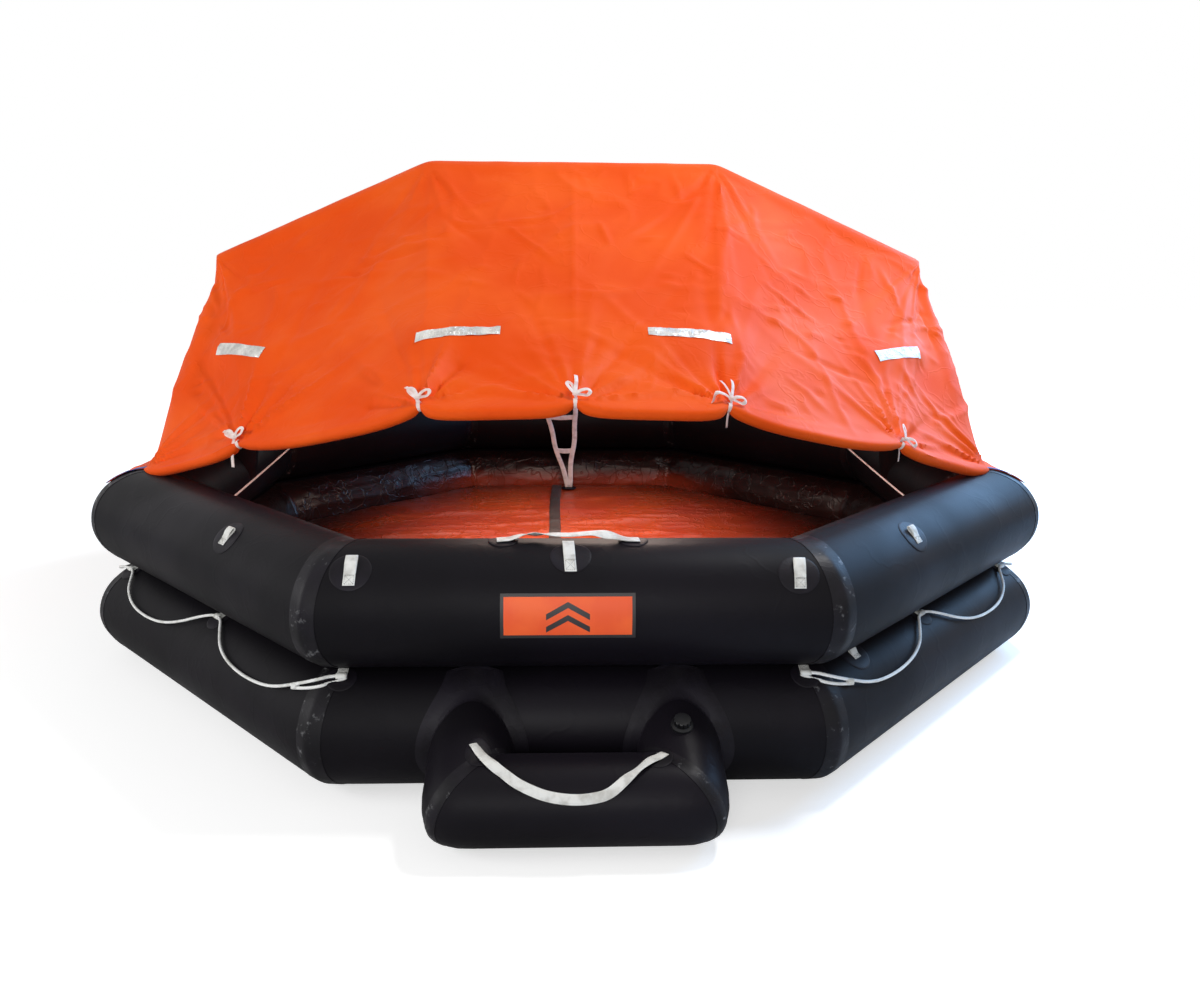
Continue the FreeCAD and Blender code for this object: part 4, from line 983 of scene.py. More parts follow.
def canopy_half(front, seed, counts, steps):
    """Rows from the ridge down to the hem and round the rolled curtain, for the front or rear."""
    rng = random.Random(seed)
    hand = 1 if front else -1
    columns = canopy_columns(counts)
    places = np.abs(columns)
    downs = np.linspace(0, 1, steps + 1)[1:]
    ridge = np.array([ridge_at(place, RIDGE_OUT, -RIDGE_HALF * hand) for place in columns])
    hem = np.array([hem_at(place, front) for place in columns])
    for _ in range(6):
        ridge[1:-1] = (ridge[:-2] + 2 * ridge[1:-1] + ridge[2:]) / 4
    base = ridge[None] * (1 - downs[:, None, None]) + hem[None] * downs[:, None, None]
    # the cloth runs round its corner lines between the arch and the hem
    ease = (np.sin(math.pi * downs) ** 0.6)[:, None, None]
    for _ in range(120):
        base[:, 1:-1] += ease * (base[:, :-2] - 2 * base[:, 1:-1] + base[:, 2:]) / 4
    out = grid_normals(np.concatenate([ridge[None], base]))[1:]
    out = out * np.where(out[..., 2:] < 0, -1, 1)
    # smooth the direction across the corner lines
    for _ in range(4):
        out[:, 1:-1] = unit(out[:, :-2] + 2 * out[:, 1:-1] + out[:, 2:])
    down = downs[:, None]
    hollow = np.sin(np.mod(places, 1) * math.pi)[None] ** 0.8
    depth = np.array(PANEL_DEPTHS)[np.minimum(places.astype(int), 3)][None]
    belly = 0.050 * np.exp(-((places - 3) / 0.5) ** 2)[None] - 0.018 * np.clip((3 - places)[None] / 0.8, 0, 1)
    lift = belly * np.sin(math.pi * down ** 0.9) - depth * hollow * np.sin(math.pi * down ** 0.8)
    lift = lift + pulled_folds(rng, base, front)
    lift = lift * np.clip((1 - down) / 0.05, 0.3, 1)
    edge = np.clip(down / 0.05, 0, 1) * np.clip((1 - down) / 0.09, 0, 1)
    lift = lift + 0.009 * soft_noise(base, 0.40, seed) * edge
    lift = lift + 0.009 * (creased(base * (1, 0.6, 1), 0.36, seed + 1, 12) - 0.2) * edge
    lift = lift + 0.005 * (creased(base, 0.18, seed + 2, 9) - 0.2) * edge
    crisp = edge * (1 - 0.7 * np.exp(-((places - 3) / 0.3) ** 2))[None]
    lift = lift + loose_creases(rng, base, 190, (0.05, 0.20), (0.005, 0.010)) * crisp
    lift = flat_under_strips(lift, base, hand)
    # the middle seam stands up a little
    lift = lift + 0.0022 * np.exp(-((base[..., 0] / 0.014) ** 4))
    # the cloth can't sink into the arch that carries it
    far = np.linalg.norm(hem - ridge, axis=-1)[None] * down
    lift = np.maximum(lift, 0.002 - far ** 2 / 0.26)
    roll_size = ROLL * np.clip((3.0 - places) / 0.12, 0, 1) ** 0.5
    tied = np.min(np.abs(places[:, None] - np.array([0, 1, 2])), axis=1)
    roll_size = roll_size * (1 - 0.45 * np.exp(-(tied / 0.035) ** 2))
    bulge = roll_size[None] * np.clip((down - 0.93) / 0.07, 0, 1) ** 1.5
    body = base + out * (lift + bulge)[..., None]
    along_down = unit(hem - base[-2])
    outward = out[-1]
    wrap = []
    for turn in np.radians(np.linspace(0, 215, 12))[1:]:
        arm = outward * math.cos(turn) + along_down * math.sin(turn)
        wrap.append(hem + arm * (roll_size + 0.0004 * lift[-1])[:, None])
    return {"places": columns, "rows": np.concatenate([body, np.array(wrap)]), "hem": hem,
            "outward": outward, "along_down": along_down, "roll_size": roll_size}


def ridge_rows(columns, start, stop, count, reach):
    """Rows over the arch tube's back, from one lean to another in degrees, the front negative."""
    rows = []
    for turn in np.radians(np.linspace(start, stop, count)):
        rows.append([ridge_at(place, reach * math.cos(turn), reach * math.sin(turn)) for place in columns])
    rows = np.array(rows)
    for _ in range(6):
        rows[:, 1:-1] = (rows[:, :-2] + 2 * rows[:, 1:-1] + rows[:, 2:]) / 4
    return rows + unit(rows - (0, 0, 0.9)) * (0.0015 * soft_noise(rows, 0.09, 31))[..., None]


RIDGE_REACH = 0.1136                        # from the arch's middle line to the cloth on its back
LEAN = math.degrees(math.asin(RIDGE_HALF / RIDGE_REACH))
canopy_halves = {True: canopy_half(True, 21, (48, 70, 58, 18), 96),
                 False: canopy_half(False, 57, (28, 40, 32, 14), 64)}


def canopy_side(front):
    """One side's sheet; the front one also covers the ridge, and the rear one is sewn under its edge."""
    half = canopy_halves[front]
    if front:
        back = ridge_rows(half["places"], LEAN, -LEAN, 9, RIDGE_REACH)
    else:
        back = ridge_rows(half["places"], LEAN - 6, LEAN, 2, RIDGE_REACH - 0.0018)
    grid = np.concatenate([back, half["rows"]])
    end = "front" if front else "rear"
    sheet = cloth_piece(f"canopy_{end}_sheet", grid, 0.0016)
    replaced = [f"canopy_{end}_{name}_{hand}"
                for name in ("top", "slope", "end") for hand in ("left", "right")]
    finish_piece(sheet, canopy_cloth, replaced + (["canopy_sleeve"] if front else []))
    round(surface_area(grid), 2)
    return sheet


canopy_sheets = {front: canopy_side(front) for front in (True, False)}


def door_roll(name, front):
    """The door curtain rolled up inside the hem: a coil whose outer turn ends in a lip."""
    half = canopy_halves[front]
    inside = np.abs(half["places"]) < 2.9
    hem, outward, along_down, size = (half[key][inside]
                                      for key in ("hem", "outward", "along_down", "roll_size"))
    turns = np.arange(22) * 2 * math.pi / 22
    rows = []
    for index in range(len(hem)):
        twist = 0.5 * math.sin(index * 0.13)
        lip = (turns / (2 * math.pi) + 0.2 + twist * 0.1) % 1
        wave = 0.90 + 0.05 * np.sin(3 * turns + twist * 3) - 0.14 * lip
        arm = outward[index] * np.cos(turns)[:, None] + along_down[index] * np.sin(turns)[:, None]
        rows.append(hem[index] + arm * (size[index] * wave)[:, None])
    piece = tube_piece(f"rolled_{name}", np.array(rows), False)
    finish_piece(piece, curtain_cloth, [name])


door_roll("front_door_roll", True)
door_roll("rear_door_roll", False)


# ---------------------------------------------------------------- things laid on the tubes

def ring_place(side, along, angle, middle):
    """Turns a place on a small patch, across, up and lift, into a point on the ring."""
    def place(across, up, lift):
        return ring_point(side, along + across, angle + math.degrees(up / SKIN), SKIN + lift, middle)
    return place


def ramp_reach(x, turn, lift):
    """How far out the ramp's skin lies at an angle round its cross tube, on it or on a leg."""
    # a ray square to the cross tube meets a leg's skin where its height over the leg's axis is right
    square = math.sin(turn - math.pi / 2 + RAMP_SLOPE), math.cos(turn - math.pi / 2 + RAMP_SLOPE)
    beside = abs(x) - RAMP_HALF
    height = math.sqrt(max((RAMP_RADIUS + lift) ** 2 - beside ** 2, 0))
    on_leg = height / square[1] if square[0] > 0 and square[1] > 0.2 else 0
    inner = on_leg * square[0] > -beside
    return max(RAMP_RADIUS + lift, on_leg if inner else 0)


def ramp_place(x, angle):
    def place(across, up, lift):
        turn = math.radians(angle) + up / RAMP_RADIUS
        reach = ramp_reach(x + across, turn, lift)
        return Vector((x + across, -RAMP_OUT - reach * math.cos(turn), RAMP_RADIUS + reach * math.sin(turn)))
    return place


def laid_sheet(name, place, width, height, lift, steps, thick):
    """A sheet laid on a curved surface, with its own map in metres; lift is a number or a function."""
    across, up = np.linspace(-width / 2, width / 2, steps[0]), np.linspace(-height / 2, height / 2, steps[1])
    points, uvs = [], []
    for v in up:
        for u in across:
            points.append(place(u, v, lift(u, v) if callable(lift) else lift))
            uvs.append((u, v))
    piece = mesh_piece(name, points, grid_faces(steps[1], steps[0]), uvs)
    recalculate(piece)
    modify(piece, "SOLIDIFY", thickness=thick, offset=-1)
    smooth(piece)
    return piece


def round_patch(name, place, radius, thick=0.0022):
    """A round rubber patch glued down, thin at its rim."""
    shares = (0.25, 0.5, 0.75, 0.9, 0.97, 1.0)
    spokes = 40
    points = [place(0, 0, thick)]
    for share in shares:
        rise = thick * (1 if share < 0.95 else 0.45 if share > 0.99 else 0.85)
        for spoke in range(spokes):
            turn = spoke * 2 * math.pi / spokes
            points.append(place(radius * share * math.cos(turn), radius * share * math.sin(turn), rise))
    faces = [(0, 1 + spoke, 1 + (spoke + 1) % spokes) for spoke in range(spokes)]
    for ring in range(len(shares) - 1):
        for spoke in range(spokes):
            after = (spoke + 1) % spokes
            first, second = 1 + ring * spokes, 1 + (ring + 1) * spokes
            faces.append((first + spoke, second + spoke, second + after, first + after))
    piece = mesh_piece(name, points, faces)
    recalculate(piece)
    modify(piece, "SOLIDIFY", thickness=thick, offset=-1)
    smooth(piece)
    return piece


def folded_strap(name, place, path, width, thick=0.0016):
    """A strap whose side view is a path of (up, lift) on a surface."""
    line = rounded_line([(up, lift, 0) for up, lift in path], 0.003)
    rows, uvs = [], []
    for (up, lift, _), far in zip(line, lengths_along(line)):
        for share in np.linspace(-0.5, 0.5, 5):
            rows.append(place(share * width, up, lift))
            uvs.append((share * width, far))
    return webbing_piece(name, rows, grid_faces(len(line), 5), uvs, thick)


def stitches(name, place, runs, lift, pitch=0.0048, long=0.0036, thick=0.0008):
    """Rows of single stitches along straight runs of (across, up) pairs."""
    points, faces = [], []
    for start, end in runs:
        start, end = Vector(start), Vector(end)
        run = end - start
        count = max(1, round(run.length / pitch))
        step = run / count
        side = Vector((-run.y, run.x)).normalized() * thick
        for index in range(count):
            middle = start + step * (index + 0.5)
            half = run.normalized() * long / 2
            ring = [middle - half, middle + side, middle + half, middle - side]
            first = len(points)
            points += [place(spot.x, spot.y, lift) for spot in ring]
            points.append(place(middle.x, middle.y, lift + thick))
            points.append(place(middle.x, middle.y, lift - thick))
            for corner in range(4):
                after = (corner + 1) % 4
                faces.append((first + corner, first + after, first + 4))
                faces.append((first + after, first + corner, first + 5))
    return mesh_piece(name, points, faces)


def box_stitching(left, low, right, high):
    """A sewn box with its diagonals."""
    a, b, c, d = (left, low), (right, low), (right, high), (left, high)
    return [(a, b), (b, c), (c, d), (d, a), (a, c), (b, d)]


# ---------------------------------------------------------------- tabs, beckets and patches

# each tab: side, place along it in mm, lowest and highest angle, height of the tube's middle
TABS = [(0, -640, 34, 61, UPPER), (0, 640, 30, 57, UPPER), (0, -15, 46, 80, UPPER),
        (7, 255, 38, 56, UPPER), (1, -255, 38, 56, UPPER), (2, 0, 30, 42, UPPER),
        (6, 0, 30, 42, UPPER), (3, 255, 38, 56, UPPER), (5, -255, 38, 56, UPPER),
        (4, -640, 34, 61, UPPER), (4, 640, 34, 61, UPPER), (4, 60, 46, 80, UPPER),
        (1, -528, 59, 71, LOWER)]
# the right half's beckets: side, place along it in mm
BECKETS = [(0, 690), (1, -50), (1, 690), (2, 0), (3, -690), (3, 50), (4, -690)]
ROPE_ANGLE, ROPE_THICK = 64, 0.010
LAYER = 0.0036                              # how high webbing lies over a rubber patch


def lacing_tab(index, side, along, low, high, middle):
    """A folded tab: its lower half sewn down, its upper half a loop whose tip stands free."""
    place = ring_place(side, along, (low + high) / 2, middle)
    half = math.radians(high - low) * SKIN / 2
    lean = 0.004 * math.sin(index * 2.3)

    def leaning(across, up, lift):
        return place(across + lean * (up + half) / half, up, lift)
    path = [(-half, LAYER), (half * 0.6, LAYER + 0.0006), (half, LAYER + 0.005), (half * 0.94, LAYER + 0.011),
            (half * 0.4, LAYER + 0.009), (-half * 0.05, LAYER + 0.003), (-half * 0.3, LAYER + 0.002)]
    tab = folded_strap(f"tab_{index}", leaning, path, 0.034)
    sewn = stitches(f"tab_stitches_{index}", leaning,
                    box_stitching(-0.013, -half * 0.9, 0.013, -half * 0.34), LAYER + 0.0009)
    return tab, sewn


def becket(index, side, along):
    """A short strap folded round the rope and sewn to itself."""
    place = ring_place(side, along, ROPE_ANGLE, LOWER)
    path = [(0.038, LAYER), (0.014, LAYER), (0.002, 0.0035), (-0.006, 0.0055), (-0.0078, 0.010),
            (-0.005, 0.0152), (0.001, 0.0168), (0.007, 0.0142), (0.013, 0.0082), (0.020, 0.0058),
            (0.036, 0.0056)]
    folded = folded_strap(f"becket_{index}", place, path, 0.030)
    sewn = stitches(f"becket_stitches_{index}", place, box_stitching(-0.012, 0.018, 0.012, 0.035), 0.0066)
    return folded, sewn


def small_fittings():
    """The lacing tabs and the beckets of the grab line, with the patches under them."""
    tabs, becket_straps, sewn, patches = [], [], [], []
    for index, (side, along, low, high, middle) in enumerate(TABS):
        tab, thread = lacing_tab(index, side, along / 1000, low, high, middle)
        tabs.append(tab)
        sewn.append(thread)
        place = ring_place(side, along / 1000, (low + high) / 2, middle)
        patches.append(round_patch(f"patch_{index}", place, 0.060))
    spots = BECKETS + [(-side % SIDES, -along) for side, along in BECKETS]
    for index, (side, along) in enumerate(spots):
        made, thread = becket(index, side, along / 1000)
        becket_straps.append(made)
        sewn.append(thread)
        place = ring_place(side, along / 1000, ROPE_ANGLE, LOWER)
        patches.append(round_patch(f"becket_patch_{index}", place, 0.045))
    finish_piece(join("lacing_tab_straps", tabs), white_webbing, ["lacing_tabs"])
    finish_piece(join("becket_straps", becket_straps), white_webbing, ["beckets"])
    finish_piece(join("tab_stitching", sewn), stitch_thread)
    finish_piece(join("round_patches", patches), patch_rubber, ["rubber_patches"])


small_fittings()


# ---------------------------------------------------------------- boarding plate

PLATE_WIDE, PLATE_LOW, PLATE_HIGH = 0.383, -12, 27   # metres, and degrees round the tube


def plate_finish():
    """Orange rubber with a dark border and an upward pair of chevrons."""
    material, tree, shader = blank_material("boarding_plate_rubber")
    where = object_place(tree)
    grain = place_group(tree, CLOTH_GRAIN, where, Threads=800.0, Patch_Size=9.0)
    mask = spread(tree, grain.outputs["Patches"], 0.35, 0.7)
    orange = blend_colours(tree, mask, ink(238, 82, 16), ink(246, 96, 24))
    parts = wired(tree, "ShaderNodeSeparateXYZ",
                  [("Vector", tree.nodes.new("ShaderNodeUVMap").outputs["UV"])])

    def maths(operation, *values):
        node = tree.nodes.new("ShaderNodeMath")
        node.operation = operation
        for index, value in enumerate(values):
            if isinstance(value, (int, float)):
                node.inputs[index].default_value = value
            else:
                tree.links.new(value, node.inputs[index])
        return node.outputs[0]
    border_wide, chevron_half, chevron_thick, fall = 0.010, 0.062, 0.0085, -0.55
    half_wide = PLATE_WIDE / 2
    half_high = math.radians(PLATE_HIGH - PLATE_LOW) * SKIN / 2
    across, up = maths("ABSOLUTE", parts.outputs["X"]), parts.outputs["Y"]
    side_edge = maths("GREATER_THAN", across, half_wide - border_wide)
    top_edge = maths("GREATER_THAN", maths("ABSOLUTE", up), half_high - border_wide)
    border = maths("MAXIMUM", side_edge, top_edge)
    chevrons = 0.0
    for low in (-0.034, 0.002):
        level = maths("SUBTRACT", maths("SUBTRACT", up, low), maths("MULTIPLY", across, fall))
        band = maths("LESS_THAN", maths("ABSOLUTE", maths("SUBTRACT", level, 0.030)), chevron_thick)
        chevrons = maths("MAXIMUM", chevrons, band)
    chevrons = maths("MULTIPLY", chevrons, maths("LESS_THAN", across, chevron_half))
    marks = maths("MAXIMUM", border, chevrons)
    tree.links.new(blend_colours(tree, marks, orange, ink(30, 24, 24)), shader.inputs["Base Color"])
    shader.inputs["Roughness"].default_value = 0.5
    bump_chain(tree, shader, [(grain.outputs["Height"], 0.35, 0.0004)])
    return material


def boarding_plate():
    middle = (PLATE_LOW + PLATE_HIGH) / 2
    place = ring_place(0, -0.023, middle, UPPER)
    high = math.radians(PLATE_HIGH - PLATE_LOW) * SKIN
    plate = laid_sheet("boarding_plate_panel", place, PLATE_WIDE, high, 0.003, (31, 17), 0.003)
    modify(plate, "BEVEL", width=0.0008, segments=2, limit_method="ANGLE", angle_limit=math.radians(60))
    smooth(plate)
    finish_piece(plate, plate_finish(), ["boarding_plate"])


boarding_plate()


# ---------------------------------------------------------------- handles

def twisted_strap(name, line, ups, width, thick):
    """A strap along a line of points; ups says which way its face looks at each of them."""
    line, ups = np.array(line, float), np.array(ups, float)
    runs = unit(np.gradient(line, axis=0))
    sides = np.cross(runs, ups)
    return strap(name, line, sides, width, thick, across=5, crown=0.0008)


def rise_near(line, x, reach):
    """1 where a line along X passes x, falling to 0 beyond reach on either side."""
    return np.exp(-((line[:, 0] - x) / reach) ** 2)


def entrance_handle():
    """The strap over the crest of the front tube, bowed up between its sewn ends."""
    top = CREST + 0.004
    path = [(-0.235, 0.0), (-0.215, 0.001), (-0.197, 0.002), (-0.176, 0.008), (-0.150, 0.014),
            (-0.090, 0.017), (-0.02, 0.015), (0.05, 0.018), (0.10, 0.013), (0.132, 0.006), (0.152, 0.002),
            (0.170, 0.001), (0.190, 0.0)]
    line = rounded_line([(x, -APOTHEM + 0.004 * math.sin(x * 30), top + lift) for x, lift in path], 0.005)
    lean = 0.5 * rise_near(line, -0.12, 0.035) - 0.35 * rise_near(line, 0.09, 0.03)
    ups = np.column_stack([lean * 0, np.sin(lean), np.cos(lean)])
    handle = twisted_strap("entrance_handle_strap", line, ups, 0.040, 0.0024)
    finish_piece(handle, white_webbing, ["entrance_handle"])
    ends, threads = [], []
    for index, x in enumerate((-0.216, 0.171)):
        place = ring_place(0, x, 90, UPPER)
        ends.append(round_patch(f"handle_patch_{index}", place, 0.045))
        threads.append(stitches(f"handle_thread_{index}", place,
                                box_stitching(-0.015, -0.014, 0.015, 0.014), 0.0056))
    finish_piece(join("entrance_handle_ends", ends), patch_rubber,
                 ["entrance_handle_patches"])
    finish_piece(join("entrance_handle_stitching", threads), stitch_thread)


entrance_handle()


def ramp_handle():
    """The ramp's strap, drooping over the brow of the cross tube and twisted near its ends."""
    path = [(-0.284, 106, 0.004), (-0.262, 96, 0.0045), (-0.236, 80, 0.008), (-0.195, 62, 0.010),
            (-0.150, 48, 0.008), (-0.085, 36, 0.006), (-0.018, 31, 0.006), (0.040, 32, 0.006),
            (0.088, 38, 0.007), (0.140, 56, 0.010), (0.196, 78, 0.008), (0.222, 88, 0.0045),
            (0.244, 98, 0.004)]
    spots = [ramp_place(x, angle)(0, 0, lift) for x, angle, lift in path]
    line = rounded_line(spots, 0.005)
    centre = np.array((0, -RAMP_OUT, RAMP_RADIUS))
    ups = unit((line - centre) * (0, 1, 1))
    runs = unit(np.gradient(line, axis=0))
    twist = 0.75 * rise_near(line, -0.20, 0.03) - 0.6 * rise_near(line, 0.165, 0.03)
    ups = ups * np.cos(twist)[:, None] + np.cross(runs, ups) * np.sin(twist)[:, None]
    handle = twisted_strap("ramp_handle_strap", line, ups, 0.028, 0.0022)
    finish_piece(handle, white_webbing, ["ramp_handle"])
    patches = [round_patch(f"ramp_patch_{index}", ramp_place(x, angle), 0.042)
               for index, (x, angle) in enumerate(((-0.262, 96), (0.222, 90)))]
    finish_piece(join("ramp_handle_ends", patches), patch_rubber, ["ramp_handle_patches"])


ramp_handle()


# ---------------------------------------------------------------- ladder

LADDER_FOOT = np.array((-0.012, 1.360, PAD_TOP + 0.002))
LADDER_SPOTS = (-0.150, 0.030)              # where the two straps cross the rear tube
LADDER_WIDE, LADDER_THICK = 0.030, 0.0022
LADDER_REACH = SKIN + 0.003
LADDER_LEAVES = 161                         # the angle at which the straps leave the tube


def ladder_ends(index):
    """Where one strap starts on the floor, and where it meets the rear tube."""
    foot = LADDER_FOOT + (0.006 if index else -0.006, 0, 0.001)
    return foot, np.array(ring_point(4, -LADDER_SPOTS[index], LADDER_LEAVES, LADDER_REACH, UPPER))


def ladder_strap(index):
    """From the floor up over the rear tube and down its outside."""
    x, (foot, leave) = LADDER_SPOTS[index], ladder_ends(index)
    inner = [foot + (leave - foot) * share
             + (0.007 * math.sin(share * 9 + index * 2) * math.sin(share * math.pi), 0, 0)
             for share in np.linspace(0, 1, 12)]
    over = [ring_point(4, -x, angle, LADDER_REACH, UPPER) for angle in np.linspace(150, 0, 18)]
    hang = [(x + 0.004 * math.sin(z * 14 + index), APOTHEM + LADDER_REACH - 0.001, z)
            for z in np.linspace(UPPER - 0.04, 0.042, 16)]
    line = rounded_line([tuple(spot) for spot in inner + over + hang], 0.012)
    return strap(f"ladder_strap_{index}", line, [(1, 0, 0)] * len(line), LADDER_WIDE, LADDER_THICK)


def boarding_ladder():
    straps = [ladder_strap(index) for index in range(2)]
    for index, share in enumerate((0.5, 0.96)):
        left, right = (foot + (leave - foot) * share for foot, leave in map(ladder_ends, range(2)))
        line = rounded_line([left, (left + right) / 2 - (0, 0, 0.004), right], 0.008)
        straps.append(strap(f"ladder_inner_rung_{index}", line, [(0, 0.35, 0.94)] * len(line),
                            LADDER_WIDE, LADDER_THICK))
    left, right = LADDER_SPOTS
    overhang = 0.012
    for index, height in enumerate((0.055, 0.205, 0.355, 0.495)):
        line = rounded_line([(x, APOTHEM + LADDER_REACH + 0.0006,
                              height - 0.004 * math.sin((x - left) / (right - left) * math.pi))
                             for x in np.linspace(left - overhang, right + overhang, 7)], 0.01)
        straps.append(strap(f"ladder_rung_{index}", line, [(0, 0, 1)] * len(line), LADDER_WIDE, 0.0024))
    finish_piece(join("boarding_ladder_straps", straps), ladder_webbing,
                 ["boarding_ladder"])

    def on_floor(across, up, lift):
        return Vector((LADDER_FOOT[0] + across, LADDER_FOOT[1] + up, PAD_TOP - 0.002 + lift))
    finish_piece(round_patch("ladder_floor_patch", on_floor, 0.046, 0.004), patch_rubber,
                 ["ladder_patch"])


boarding_ladder()


# ---------------------------------------------------------------- flaps, tapes and pockets on the sides

FLAP_LOW = 50                               # the angle of the flaps' lower edges round the tube


def half_length(angle):
    """How far from its middle a side's skin runs at this angle, before the next side's begins."""
    return (APOTHEM + SKIN * math.cos(math.radians(angle))) * TAN


def side_flap(side):
    """The canopy's end glued down over the outside of the upper tube."""
    angles, alongs = np.linspace(FLAP_LOW, 97, 16), np.linspace(-1, 1, 73)
    rows = []
    for angle in angles:
        limit = half_length(angle) - 0.004
        rows.append([ring_point(side, share * limit, angle, SKIN, UPPER) for share in alongs])
    grid = np.array(rows)
    away = unit(grid - np.array([[ring_point(side, 0, 0, 0, UPPER)]]) * (1, 0, 1) - grid * (0, 1, 0))
    loose = np.clip((angles - FLAP_LOW - 2) / 10, 0, 1)[:, None]
    lift = 0.0034 + 0.004 * creased(grid * (1, 0.5, 1), 0.12, side, 5) * loose
    return grid + away * lift[..., None]


flap_grids = {side: side_flap(side) for side in (2, 6)}
for side, grid in flap_grids.items():
    flap = cloth_piece(f"canopy_side_flap_{side}", grid, 0.0016)
    finish_piece(flap, canopy_cloth, ["canopy_side_flaps"])


TAPE_WIDE = 0.028


def edge_tapes():
    """Blue tapes glued over the flaps' lower edges and ends."""
    pieces = []
    for side in (2, 6):
        place = ring_place(side, 0, FLAP_LOW - 2, UPPER)
        pieces.append(laid_sheet(f"edge_tape_{side}", place, 2 * APOTHEM * TAN, TAPE_WIDE, 0.0042, (48, 5),
                                 0.002))
        for end in (-1, 1):
            rows = [[ring_point(side, end * (half_length(angle) - back), angle, SKIN + 0.0062, UPPER)
                     for back in np.linspace(0.002, 0.002 + TAPE_WIDE, 4)]
                    for angle in np.linspace(FLAP_LOW - 2, 96, 20)]
            pieces.append(cloth_piece(f"end_tape_{side}_{end}", np.array(rows), 0.002))
    finish_piece(join("canopy_blue_tapes", pieces), blue_tape, ["canopy_edge_tapes"])


edge_tapes()


POCKET_LONG, POCKET_HIGH = 0.52, 0.126


def water_pockets():
    """Ballast pockets folded flat against the lower tube."""
    pieces = []
    for side in (2, 3, 5, 6):
        place = ring_place(side, 0, -51, LOWER)

        def puffed(u, v, place=place, side=side):
            rim = min(1, (POCKET_LONG / 2 - abs(u)) / 0.03, (POCKET_HIGH / 2 - abs(v)) / 0.02)
            return 0.002 + 0.006 * max(0, rim) * (0.6 + 0.4 * math.sin(v * 90 + u * 6 + side))
        pieces.append(laid_sheet(f"pocket_{side}", place, POCKET_LONG, POCKET_HIGH, puffed, (61, 25), 0.002))
    finish_piece(join("folded_water_pockets", pieces), pocket_cloth, ["water_pockets"])


water_pockets()


# ---------------------------------------------------------------- reflective strips on the canopy

STRIP_LONG, STRIP_WIDE = 0.300, 0.050


def reflective_strip(front, right, index):
    """A stiff blistered strip dropped square onto its panel until it meets the cloth."""
    centre, names = STRIPS[index]
    flip = np.array((1 if right else -1, 1 if front else -1, 1))
    a, b, c = (np.array(STRIP_CORNERS[name]) * flip for name in names)
    normal = unit(np.cross(b - a, c - a))
    normal = normal * (1 if normal[2] > 0 else -1)
    level = unit(np.cross(normal, (0, 0, 1)))
    up = np.cross(level, normal)
    up = up * (1 if up[2] > 0 else -1)
    columns, rows, clear = 61, 13, 0.2
    across, rise = np.meshgrid(np.linspace(-STRIP_LONG / 2, STRIP_LONG / 2, columns),
                               np.linspace(-STRIP_WIDE / 2, STRIP_WIDE / 2, rows))
    spot = np.array(centre) * flip
    spot = spot - normal * ((spot - a) @ normal)
    grid = spot + across[..., None] * level + rise[..., None] * up + normal * clear
    name = f"strip_{'f' if front else 'r'}{'r' if right else 'l'}{index}"
    piece = mesh_piece(name, grid.reshape(-1, 3), grid_faces(rows, columns))
    sheet = bvhtree.BVHTree.FromObject(canopy_sheets[front], bpy.context.evaluated_depsgraph_get())
    for vertex in piece.data.vertices:
        hit, facing, _, _ = sheet.ray_cast(vertex.co, Vector(-normal))
        vertex.co = hit + facing * 0.0012
    made = np.array([vertex.co for vertex in piece.data.vertices])
    blister = 0.0022 * creased(made, 0.035, 5 + index, 3) + 0.0012 * creased(made, 0.016, 9, 4)
    made = made + normal * blister[:, None]
    piece.data.vertices.foreach_set("co", made.astype(np.float32).ravel())
    recalculate(piece)
    modify(piece, "SOLIDIFY", thickness=0.0006, offset=-1)
    smooth(piece)
    return piece


def reflective_strips():
    pieces = [reflective_strip(front, right, index)
              for front in (True, False) for right in (True, False) for index in range(len(STRIPS))]
    finish_piece(join("reflective_tape_strips", pieces), silver_film, ["reflective_strips"])


reflective_strips()


# ---------------------------------------------------------------- tapes that tie the door curtain

TIE_WIDE = 0.013
# each tape: points as (along the hem, up, out) in metres from the knot, then which way its width lies
BOWS = {
    "loop_right": [(0, 0, 0.004), (0.020, 0.010, 0.012), (0.040, 0.012, 0.014), (0.048, 0.002, 0.012),
                   (0.038, -0.008, 0.010), (0.018, -0.004, 0.007), (0, 0, 0.004)],
    "loop_left": [(0, 0, 0.004), (-0.014, 0.014, 0.012), (-0.026, 0.036, 0.014), (-0.022, 0.050, 0.012),
                  (-0.010, 0.040, 0.010), (-0.002, 0.016, 0.007), (0, 0, 0.004)],
    "end_up": [(0, 0, 0.005), (0.002, 0.030, 0.010), (0.004, 0.062, 0.012), (0.002, 0.088, 0.010)],
    "end_up_left": [(0, 0, 0.005), (-0.012, 0.026, 0.010), (-0.028, 0.050, 0.012), (-0.040, 0.066, 0.009)],
    "end_down_left": [(0, 0, 0.005), (-0.030, 0.004, 0.010), (-0.056, -0.002, 0.010), (-0.066, -0.030, 0.006),
                      (-0.072, -0.058, 0.008)],
    "tail_down": [(0, -0.004, 0.004), (-0.004, -0.030, 0.010), (-0.012, -0.062, 0.006),
                  (-0.014, -0.100, 0.004)],
    "tail_wavy": [(0, -0.004, 0.004), (-0.020, -0.016, 0.010), (-0.030, -0.040, 0.006),
                  (-0.026, -0.070, 0.004), (-0.030, -0.104, 0.006)],
    "string": [(0, 0, 0.003), (0.004, -0.020, 0.003), (0.008, -0.038, 0.004)],
}
TIES = {
    -2: ("loop_right", "end_up_left", "loop_left", "tail_down"),
    -1: ("end_up_left", "loop_left", "loop_right", "string"),
    0: ("end_up", "loop_left", "loop_right", "string"),
    1: ("end_up", "end_up_left", "loop_right", "end_down_left", "tail_down"),
    2: ("loop_right", "loop_left", "tail_wavy"),
}


